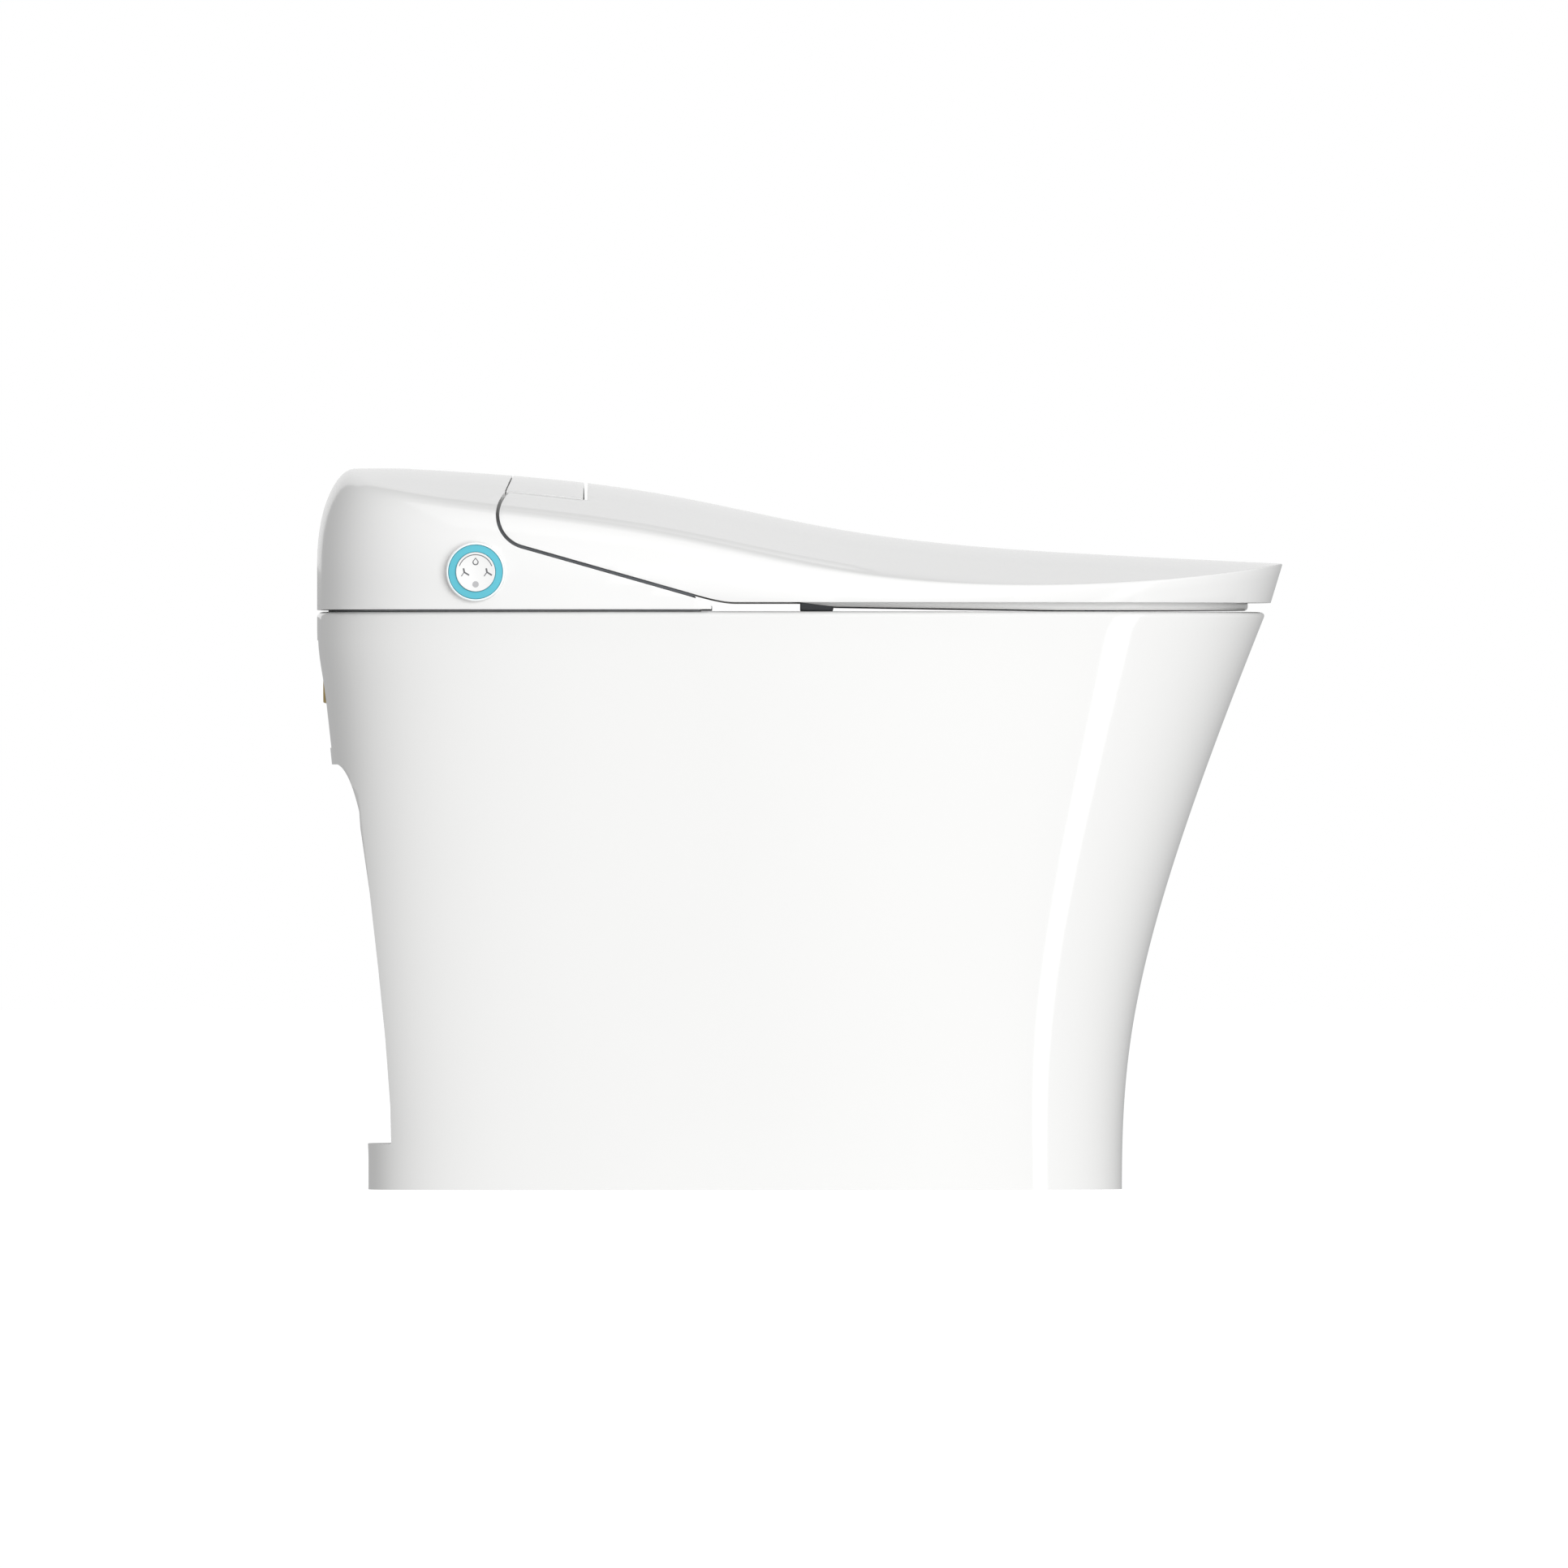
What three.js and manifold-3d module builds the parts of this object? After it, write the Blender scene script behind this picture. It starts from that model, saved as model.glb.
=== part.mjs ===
// One-piece electric bidet toilet: ceramic pan, electric seat unit, heated seat ring and lid.
// Units are millimetres. +Z is up, -Y is the front, the origin is on the floor under the middle
// of the whole. "Left" and "right" are those of the person who sits: left is +X, right is -X.

import * as THREE from 'three';
import { mergeVertices } from 'three/addons/utils/BufferGeometryUtils.js';
import Module from 'manifold-3d';

const wasm = await Module();
wasm.setup();

// ---------------------------------------------------------------------------------------------
// Driving dimensions
// ---------------------------------------------------------------------------------------------

const bodyLength = 700;
const bodyHalfWidth = 200;
const rimHeight = 418.5;
const front = -bodyLength / 2;
const rear = bodyLength / 2;

const fitGap = 0.3;
const far = 2 * bodyLength;

// The lid closes over the seat ring, so the roof and the hinge line follow the ring's thickness.
const seatThickness = 22;

// Roof of the seat unit and the lid: an S-curve from the low front to the high rear.
const roof = {
  middleHeight: rimHeight + seatThickness + 49.4,
  slope: 0.0454,
  halfRise: 20.4,
  bendLength: 123.8,
  bendFromRear: 312.6,
  highest: rimHeight + seatThickness + 82.3,
  sideDrop: 34.5,
};

// Shoulder where the side wall turns over into the roof; it fades to a crease at the front.
const shoulder = {
  creaseFromFront: 50,
  rearHeight: 68.7,
  rearDepth: 30,
  creaseSize: 1,
  fade: 1.4,
  rearTuck: 1.9,
  tuckLength: 30,
};
const frontLean = 0.304;
const formDepth = 30;

// Plan outline: two superellipse halves that meet where the body is widest.
const plan = { widestFromRear: 290, frontPower: 2.3, rearPower: 4 };

// Hinge line of the seat and the lid.
const hinge = { y: rear - 155.7, z: rimHeight + seatThickness + 47.7 };
const pinRadius = 6;
const pinOuterEnd = 146;
const pinInnerEnd = 58;

// Lid.
const lidWall = 2.8;
const lidEdgeHeight = rimHeight + 6.6;
const lidRearEdge = hinge.y - 40.5;
const earRadius = 22.8;
const seamGap = 2.5;
const seamAngle = 15.9;
const earBossEnd = 150;
const lidNose = { start: 16.5, bend: 6, seamEnd: 125 };
const linerWall = 2.2;

// Housing of the seat unit.
const coverWall = 3;
const coverBottom = rimHeight + 1.5;
const sideLow = rimHeight - 25;
const plateThickness = 3;
const floorHeight = coverBottom + fitGap + plateThickness + 0.5;
const wingTip = hinge.y - 130.4;
const wingThickness = 35;
const panelFront = hinge.y - 36;
const hingeCoverFront = hinge.y - 38;
const hingeCoverRear = hinge.y + 13.8;
const hingeCoverBow = 4.7;
const hingeCoverHalfWidth = 118;
const hingeCoverWall = 3.2;
const armSlot = { inner: 86, outer: 116 };

// Seat ring.
const seat = {
  halfWidth: bodyHalfWidth - 32,
  ringWidth: 60,
  front: front + 25,
  rear: hinge.y - 55,
  widest: hinge.y - 234.3,
  openingFront: front + 98,
  openingRear: hinge.y - 109,
  thickness: seatThickness,
  wall: 3,
  lift: rimHeight + 0.9,
  frontPower: 2.3,
  rearPower: 2.6,
};
const arm = { inner: 89, outer: 113, knuckle: 12, low: hinge.z - 57, high: hinge.z - 42, reach: 95 };

// Nozzles.
const nozzle = {
  radius: 7,
  length: 135,
  spacing: 11,
  angle: 25,
  tipY: hinge.y - 30.3,
  tipZ: rimHeight + 26.5,
};
const pinionRadius = 6;
const pinionFromTip = 26;

// Dial on the user's right side.
const dial = {
  y: rear - 115.9,
  z: rimHeight + 28.4,
  capRadius: 14.2,
  ringInner: 14.5,
  ringOuter: 19.5,
  collar: 21.5,
  face: bodyHalfWidth - 0.4,
  ringFace: bodyHalfWidth - 3.2,
};

// Ceramic pan.
const pan = {
  wall: 12,
  deck: 16,
  rimFront: front + 11.8,
  footFront: front + 116.3,
  footHalfWidth: 128,
  rimHalfWidth: bodyHalfWidth - 9,
  heelStep: 37.1,
  recessLow: 33,
  recessHigh: 308,
  basinWall: 11,
  basinFront: front + 66,
  basinRear: hinge.y - 66.3,
  basinHalfWidth: 124,
  basinDepth: 212,
  trapRadius: 26,
  trapWall: 8,
};
const windowHalfWidth = 60;
const windowLow = 320;
const windowHigh = 398;
const well = { halfWidth: 118, front: rear - 168, rear: rear - 40 };

// ---------------------------------------------------------------------------------------------
// Finishes
// ---------------------------------------------------------------------------------------------

const finish = (color, roughness, metalness = 0) => ({ color, roughness, metalness });
const glaze = finish(0xf4f4f2, 0.08);
const whitePlastic = finish(0xf1f1f0, 0.2);
const linerPlastic = finish(0xeaeae8, 0.35);
const greyPlastic = finish(0x8f9294, 0.5);
const darkPlastic = finish(0x2c2e30, 0.55);
const rubber = finish(0x3a3c3e, 0.85);
const steel = finish(0xb9bcbf, 0.3, 1);
const brass = finish(0xb89a5a, 0.35, 1);
const boardGreen = finish(0x1f5a3c, 0.5);
const copperFoil = finish(0xc08a5e, 0.4, 1);
const lightRing = finish(0x6ec6d9, 0.3);

const object = new THREE.Group();

/** Add a geometry to the object as one named sub-part. */
function add(name, geometry, look) {
  const mesh = new THREE.Mesh(geometry, new THREE.MeshStandardMaterial(look));
  mesh.name = name;
  object.add(mesh);
}

// ---------------------------------------------------------------------------------------------
// Geometry helpers
// ---------------------------------------------------------------------------------------------

const clamp = (value, low, high) => Math.min(Math.max(value, low), high);
const radians = THREE.MathUtils.degToRad;

/** Six times the signed volume of a triangle mesh. */
function signedVolume(geometry) {
  const p = geometry.attributes.position;
  const index = geometry.index;
  const a = new THREE.Vector3();
  const b = new THREE.Vector3();
  const c = new THREE.Vector3();
  let sum = 0;
  for (let i = 0; i < index.count; i += 3) {
    a.fromBufferAttribute(p, index.getX(i));
    b.fromBufferAttribute(p, index.getX(i + 1));
    c.fromBufferAttribute(p, index.getX(i + 2));
    sum += a.dot(b.cross(c));
  }
  return sum;
}

/** Merge shared vertices and point the faces outwards. */
function welded(geometry) {
  const bare = geometry.index ? geometry.toNonIndexed() : geometry;
  bare.deleteAttribute('normal');
  bare.deleteAttribute('uv');
  const merged = mergeVertices(bare, 1e-4);
  if (signedVolume(merged) < 0) merged.index.array.reverse();
  return merged;
}

/** A closed geometry as a solid for cutting and joining. */
function solid(geometry) {
  const merged = welded(geometry);
  return new wasm.Manifold(new wasm.Mesh({
    numProp: 3,
    vertProperties: new Float32Array(merged.attributes.position.array),
    triVerts: new Uint32Array(merged.index.array),
  }));
}

/** A solid back as a geometry. */
function shape(body) {
  const mesh = body.getMesh();
  const geometry = new THREE.BufferGeometry();
  const positions = new Float32Array(mesh.numVert * 3);
  for (let i = 0; i < mesh.numVert; i += 1) {
    for (let k = 0; k < 3; k += 1) positions[3 * i + k] = mesh.vertProperties[mesh.numProp * i + k];
  }
  geometry.setAttribute('position', new THREE.BufferAttribute(positions, 3));
  geometry.setIndex(new THREE.BufferAttribute(new Uint32Array(mesh.triVerts), 1));
  geometry.computeVertexNormals();
  return geometry;
}

/** Join any number of solids. */
const join = (...bodies) => bodies.reduce((whole, body) => whole.add(body));

/** Cut any number of solids from a body. */
const cut = (body, ...tools) => tools.reduce((rest, tool) => rest.subtract(tool), body);

/** A box between two corners. */
function box(x0, x1, y0, y1, z0, z1) {
  const geometry = new THREE.BoxGeometry(x1 - x0, y1 - y0, z1 - z0);
  geometry.translate((x0 + x1) / 2, (y0 + y1) / 2, (z0 + z1) / 2);
  return solid(geometry);
}

/** The same box on both sides of the middle plane. */
const boxPair = (x0, x1, ...rest) => box(x0, x1, ...rest).add(box(-x1, -x0, ...rest));

/** A box with round vertical edges. */
function roundBox(x0, x1, y0, y1, z0, z1, radius, steps = 3) {
  const outline2d = new THREE.Shape();
  outline2d.moveTo(x0 + radius, y0);
  outline2d.lineTo(x1 - radius, y0);
  outline2d.absarc(x1 - radius, y0 + radius, radius, -Math.PI / 2, 0);
  outline2d.absarc(x1 - radius, y1 - radius, radius, 0, Math.PI / 2);
  outline2d.absarc(x0 + radius, y1 - radius, radius, Math.PI / 2, Math.PI);
  outline2d.absarc(x0 + radius, y0 + radius, radius, Math.PI, 1.5 * Math.PI);
  const options = { depth: z1 - z0, bevelEnabled: false, curveSegments: steps };
  const geometry = new THREE.ExtrudeGeometry(outline2d, options);
  geometry.translate(0, 0, z0);
  return solid(geometry);
}

/** A rod along X, Y or Z from one place to another. */
function rod(axis, centre, start, end, radius, sides = 24) {
  const geometry = new THREE.CylinderGeometry(radius, radius, end - start, sides);
  if (axis === 'x') geometry.rotateZ(-Math.PI / 2);
  if (axis === 'z') geometry.rotateX(Math.PI / 2);
  const middle = (start + end) / 2;
  if (axis === 'x') geometry.translate(middle, centre[0], centre[1]);
  if (axis === 'y') geometry.translate(centre[0], middle, centre[1]);
  if (axis === 'z') geometry.translate(centre[0], centre[1], middle);
  return solid(geometry);
}

/** A ring: a rod with a bore. */
function ring(axis, centre, start, end, outer, inner, sides = 24) {
  const bore = rod(axis, centre, start - 1, end + 1, inner, sides);
  return rod(axis, centre, start, end, outer, sides).subtract(bore);
}

/** A side-view shape (drawn in Y and Z) stretched along X from one place to another. */
function sidePrism(shape2d, x0, x1, steps = 10) {
  const options = { depth: x1 - x0, bevelEnabled: false, curveSegments: steps };
  const geometry = new THREE.ExtrudeGeometry(shape2d, options);
  const toSide = new THREE.Matrix4().set(0, 0, 1, x0, 1, 0, 0, 0, 0, 1, 0, 0, 0, 0, 0, 1);
  geometry.applyMatrix4(toSide);
  return solid(geometry);
}

/** A tube or rod of round section along a smooth path through a few points. */
function pipe(points, radius, steps, sides = 6) {
  const path = new THREE.CatmullRomCurve3(points.map((p) => new THREE.Vector3(...p)));
  const section = new THREE.Shape();
  section.absarc(0, 0, radius, 0, 2 * Math.PI);
  const options = { steps, extrudePath: path, bevelEnabled: false, curveSegments: sides };
  return solid(new THREE.ExtrudeGeometry(section, options));
}

/** Close a stack of rings, all with the same number of points, into one surface. */
function loft(rings, closeTop = true) {
  const positions = [];
  const index = [];
  const count = rings[0].length;
  for (const points of rings) for (const p of points) positions.push(...p);
  for (let r = 0; r + 1 < rings.length; r += 1) {
    for (let i = 0; i < count; i += 1) {
      const a = r * count + i;
      const b = r * count + ((i + 1) % count);
      index.push(a, b, b + count, a, b + count, a + count);
    }
  }
  const cap = (start, flip) => {
    const ringPoints = positions.slice(3 * start, 3 * (start + count));
    const centre = [0, 0, 0];
    for (let i = 0; i < 3 * count; i += 1) centre[i % 3] += ringPoints[i] / count;
    const tip = positions.length / 3;
    positions.push(...centre);
    for (let i = 0; i < count; i += 1) {
      const a = start + i;
      const b = start + ((i + 1) % count);
      if (flip) index.push(tip, b, a);
      else index.push(tip, a, b);
    }
  };
  cap(0, true);
  if (closeTop) cap((rings.length - 1) * count, false);
  const geometry = new THREE.BufferGeometry();
  geometry.setAttribute('position', new THREE.Float32BufferAttribute(positions, 3));
  geometry.setIndex(index);
  return solid(geometry);
}

/** Plan outline of two superellipse halves, from the rear middle round by +X. */
function outline(o, count) {
  const points = [];
  for (let i = 0; i < count; i += 1) {
    const angle = (2 * Math.PI * i) / count;
    const s = Math.sin(angle);
    const c = Math.cos(angle);
    const power = c >= 0 ? o.rearPower : o.frontPower;
    const reach = c >= 0 ? o.rear - o.widest : o.widest - o.front;
    const x = o.halfWidth * Math.sign(s) * Math.abs(s) ** (2 / power);
    const y = o.widest + reach * Math.sign(c) * Math.abs(c) ** (2 / power);
    points.push([Math.abs(s) < 1e-9 ? 0 : x, y]);
  }
  return points;
}

/** Inward directions of a plan outline at its points. */
function inwards(points) {
  const count = points.length;
  return points.map((_, i) => {
    const before = points[(i + count - 1) % count];
    const after = points[(i + 1) % count];
    const dx = after[0] - before[0];
    const dy = after[1] - before[1];
    const length = Math.hypot(dx, dy);
    return [dy / length, -dx / length];
  });
}

// ---------------------------------------------------------------------------------------------
// Shared outer form of the seat unit: the lid, the housing and the hinge cover are cut from it
// ---------------------------------------------------------------------------------------------

const bodyOutline = {
  front,
  rear,
  halfWidth: bodyHalfWidth,
  widest: rear - plan.widestFromRear,
  frontPower: plan.frontPower,
  rearPower: plan.rearPower,
};
const bodyPoints = outline(bodyOutline, 40);
const bodyNormals = inwards(bodyPoints);

/** Height of the roof over a point of the plan. */
function roofHeight(x, y) {
  const bend = Math.tanh((y - (rear - roof.bendFromRear)) / roof.bendLength);
  const line = roof.middleHeight + roof.slope * y + roof.halfRise * bend;
  return Math.min(line, roof.highest) - roof.sideDrop * (x / bodyHalfWidth) ** 2;
}

/** The whole outer form, with all its faces moved in by an inset, down to a flat bottom. */
function bodyForm(inset) {
  const bottom = rimHeight - formDepth;
  const foot = [];
  const wallTop = [];
  const turns = [15, 30, 45, 60, 76.5, 90].map(radians);
  const turnRings = turns.map(() => []);
  const shrinks = [0.75, 0.5, 0.25, 0];
  const roofRings = shrinks.map(() => []);
  bodyPoints.forEach(([px, py], i) => {
    const [nx, ny] = bodyNormals[i];
    const x = px + nx * inset;
    const y = py + ny * inset;
    const along = clamp((py - front - shoulder.creaseFromFront) / (bodyLength - shoulder.creaseFromFront), 0, 1);
    const rise = shoulder.creaseSize + (shoulder.rearHeight - shoulder.creaseSize) * along ** shoulder.fade;
    const deeper = shoulder.rearDepth - shoulder.creaseSize;
    const depth = shoulder.creaseSize + deeper * Math.sin((along * Math.PI) / 2);
    const tuck = shoulder.rearTuck * clamp((py - rear) / shoulder.tuckLength + 1, 0, 1);
    const top = (qx, qy) => roofHeight(qx, qy) - inset;
    const innerX = x + nx * depth;
    const innerY = y + ny * depth;
    const base = top(innerX, innerY) + tuck - rise;
    const lean = frontLean * (1 - (py - front) / bodyLength) * (base - bottom);
    foot.push([x + nx * lean, y + ny * lean, bottom]);
    wallTop.push([x, y, base]);
    turns.forEach((turn, k) => {
      const qx = x + nx * depth * (1 - Math.cos(turn));
      const qy = y + ny * depth * (1 - Math.cos(turn));
      turnRings[k].push([qx, qy, Math.min(base + rise * Math.sin(turn), top(qx, qy))]);
    });
    const spineY = 0.75 * py;
    shrinks.forEach((shrink, k) => {
      const qx = innerX * shrink;
      const qy = spineY + (innerY - spineY) * shrink;
      roofRings[k].push([qx, qy, top(qx, qy)]);
    });
  });
  return loft([foot, wallTop, ...turnRings, ...roofRings], false);
}

// ---------------------------------------------------------------------------------------------
// Ceramic pan
// ---------------------------------------------------------------------------------------------

/** A value that goes from one end to the other as a share runs from 0 to 1. */
const blend = (from, to, share) => from + (to - from) * share;

/** Front of the pan at a height: a curve that starts upright at the floor and leans out. */
function panFront(height) {
  const curve = new THREE.CubicBezierCurve(
    new THREE.Vector2(pan.footFront, 0),
    new THREE.Vector2(pan.footFront, 0.263 * rimHeight),
    new THREE.Vector2(pan.footFront - 8.5, 0.427 * rimHeight),
    new THREE.Vector2(pan.rimFront, rimHeight),
  );
  let low = 0;
  let high = 1;
  for (let i = 0; i < 30; i += 1) {
    const middle = (low + high) / 2;
    if (curve.getPoint(middle).y < height) low = middle;
    else high = middle;
  }
  return curve.getPoint(low).x;
}

const rimEdge = 3;

// How far the pan's rear stands in from the very rear at each height, above the recess and in it.
const upperRear = [
  [pan.recessHigh + 1.5, 10.6], [362, 5], [392, 0], [rimHeight - pan.deck, 0],
  [rimHeight - rimEdge, 0], [rimHeight, 0],
];
const recessRear = [[0, 54.7], [60, 53.6], [109, 50], [162, 44.7], [215, 38.8], [262, 32]];
const recessTop = { bend: [283, 28.8], ledge: [pan.recessHigh, 15.3] };
const insideLevels = [...recessRear, recessTop.bend, recessTop.ledge, ...upperRear];

// The outside runs straight down to the heel, and the recess is cut across it.
const outsideLevels = [
  [0, pan.heelStep], [pan.recessLow, pan.heelStep],
  ...[109, 162, 215, 262].map((z) => {
    const share = (z - pan.recessLow) / (upperRear[0][0] - pan.recessLow);
    return [z, blend(pan.heelStep, upperRear[0][1], share)];
  }),
  ...upperRear,
];

/** Plan outline of the pan at a height, moved in by an inset. */
function panOutline(z, rearStep, inset) {
  const share = z / rimHeight;
  return {
    front: panFront(z) + inset,
    rear: rear - rearStep - inset,
    halfWidth: blend(pan.footHalfWidth, pan.rimHalfWidth, share ** 1.7) - inset,
    widest: blend(rear - 300, bodyOutline.widest, share),
    frontPower: blend(2.5, plan.frontPower, share),
    rearPower: plan.rearPower,
  };
}

/** Inner face of the pan's rear wall at a distance from the middle and a height. */
function panInsideRear(x, z) {
  const above = insideLevels.findIndex(([level]) => level >= z);
  const [[z0, step0], [z1, step1]] = insideLevels.slice(above - 1, above + 1);
  const o = panOutline(z, blend(step0, step1, (z - z0) / (z1 - z0)), pan.wall);
  const reach = o.rear - o.widest;
  return o.widest + reach * (1 - (x / o.halfWidth) ** o.rearPower) ** (1 / o.rearPower);
}

/** A stack of the pan's plan outlines, moved in by an inset; with an inset it starts under the floor. */
function panForm(levels, inset, top = rimHeight) {
  const rings = levels.filter(([z]) => z <= top).map(([z, rearStep]) => {
    const edge = z === rimHeight ? inset + rimEdge : inset;
    return outline(panOutline(z, rearStep, edge), 36).map(([x, y]) => [x, y, z]);
  });
  if (inset > 0) rings.unshift(rings[0].map(([x, y]) => [x, y, -10]));
  return loft(rings);
}

/** Recess that is cut across the rear of the skirt, between the heel and the deck. */
function skirtRecess() {
  const [topStep, startStep] = [recessTop.ledge[1], blend(recessRear[5][1], recessTop.bend[1], 0.5)];
  const startHeight = (recessRear[5][0] + recessTop.bend[0]) / 2;
  const side = new THREE.Shape();
  side.moveTo(far, pan.recessLow);
  side.lineTo(rear - recessRear[0][1], pan.recessLow);
  recessRear.slice(1).forEach(([z, step]) => side.lineTo(rear - step, z));
  side.lineTo(rear - startStep, startHeight);
  side.quadraticCurveTo(
    rear - startStep + 6.5, pan.recessHigh - 4, rear - topStep, pan.recessHigh,
  );
  side.lineTo(far, pan.recessHigh);
  return sidePrism(side, -far, far);
}

/** The basin's hollow, with its walls moved out. */
function basinForm(outset) {
  const levels = [[0, 0], [22, 4], [60, 14], [115, 32], [165, 58], [200, 84], [pan.basinDepth, 98]];
  const rings = levels.map(([depth, step]) => {
    const ringOutline = {
      front: pan.basinFront + 1.5 * step - outset,
      rear: pan.basinRear - 0.75 * step + outset,
      halfWidth: pan.basinHalfWidth - step + outset,
      widest: rear - 400 + 0.3 * step,
      frontPower: 2.1,
      rearPower: 2.6,
    };
    const z = depth === 0 ? rimHeight + 5 : rimHeight - depth - (depth === pan.basinDepth ? outset : 0);
    return outline(ringOutline, 28).map(([x, y]) => [x, y, z]);
  });
  return loft(rings.reverse());
}

// Route of the trapway: from the sump up over its weir and down to the floor.
const trapStart = [0, rear - 385, rimHeight - 196];
const trapRoute = [
  trapStart,
  [0, rear - 330, rimHeight - 200],
  [0, rear - 270, rimHeight - 160],
  [0, rear - 225, rimHeight - 175],
  [0, rear - 215, rimHeight - 260],
  [0, rear - 215, 60],
];
const outlet = { x: 0, y: rear - 215 };

/** Pan: skirt, rim and deck, basin and trapway in one casting. */
function ceramicPan() {
  const outside = cut(panForm(outsideLevels, 0), skirtRecess());
  const hollow = panForm(insideLevels, pan.wall, rimHeight - pan.deck);
  const heelTop = pan.recessLow - pan.wall;
  const heelHollow = panForm([[0, pan.heelStep], [heelTop, pan.heelStep]], pan.wall, heelTop);
  const outletSleeve = rod('z', [outlet.x, outlet.y], 24, 90, pan.trapRadius + pan.trapWall, 16);
  const outletBore = rod('z', [outlet.x, outlet.y], 10, 70, pan.trapRadius, 16);
  let body = cut(outside, hollow, heelHollow);
  body = join(
    body,
    basinForm(pan.basinWall).intersect(box(-far, far, -far, far, 0, rimHeight - 1)),
    pipe(trapRoute, pan.trapRadius + pan.trapWall, 14),
    outletSleeve,
  );
  body = cut(
    body,
    basinForm(0),
    pipe([[0, trapStart[1] - 20, trapStart[2] + 12], ...trapRoute], pan.trapRadius, 15),
    outletBore,
    roundBox(-well.halfWidth, well.halfWidth, well.front, well.rear, rimHeight - 40, rimHeight + 9, 18),
    rearWindow(),
    ...boltPlaces.map(([x, y]) => rod('z', [x, y], rimHeight - 40, rimHeight + 9, boltRadius + 1, 12)),
  );
  return body;
}

/** Opening through the rear wall for the water inlet and the power inlet. */
function rearWindow() {
  return box(-windowHalfWidth, windowHalfWidth, rear - 34, rear + 20, windowLow, windowHigh);
}

// ---------------------------------------------------------------------------------------------
// Housing of the seat unit
// ---------------------------------------------------------------------------------------------

const sideWallStart = armSlot.outer + 2.5;
const earStart = sideWallStart + 2.3;
const slope = radians(seamAngle);

/** Point of a line that touches a circle round the hinge and runs forward and down. */
function seamPoint(radius, forward) {
  return [
    hinge.y + radius * Math.sin(slope) - forward * Math.cos(slope),
    hinge.z - radius * Math.cos(slope) - forward * Math.sin(slope),
  ];
}

/** Side view of what lies behind and below the seam, moved in by an inset. */
function housingSide(inset) {
  const radius = earRadius + seamGap + inset;
  const side = new THREE.Shape();
  const nose = coverBottom + 3;
  const tipY = wingTip + inset;
  side.moveTo(tipY, sideLow);
  side.lineTo(tipY, nose - inset);
  side.quadraticCurveTo(tipY, nose + 1.5 - inset, ...seamPoint(radius, 128));
  side.lineTo(...seamPoint(radius, 0));
  side.absarc(hinge.y, hinge.z, radius, slope - Math.PI / 2, radians(70), false);
  side.lineTo(hinge.y + radius * Math.cos(radians(70)), far);
  side.lineTo(far, far);
  side.lineTo(far, sideLow);
  return side;
}

/** The bay for the seat ring between the wings, grown by a margin. */
function seatBay(margin) {
  const halfWidth = bodyHalfWidth - wingThickness + margin;
  return box(-halfWidth, halfWidth, -far, panelFront + margin, 0, far);
}

/** Space over the hinges that the hinge cover closes, grown by a margin. */
function hingeCoverZone(margin, lowest) {
  const zone = new THREE.Shape();
  const halfWidth = hingeCoverHalfWidth + margin;
  zone.moveTo(-halfWidth, hingeCoverFront - margin);
  zone.lineTo(halfWidth, hingeCoverFront - margin);
  zone.lineTo(halfWidth, hingeCoverRear + hingeCoverBow + margin);
  const control = hingeCoverRear - hingeCoverBow + margin;
  zone.quadraticCurveTo(0, control, -halfWidth, hingeCoverRear + hingeCoverBow + margin);
  const options = { depth: far, bevelEnabled: false, curveSegments: 8 };
  const geometry = new THREE.ExtrudeGeometry(zone, options);
  geometry.translate(0, 0, lowest);
  return solid(geometry);
}

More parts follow.
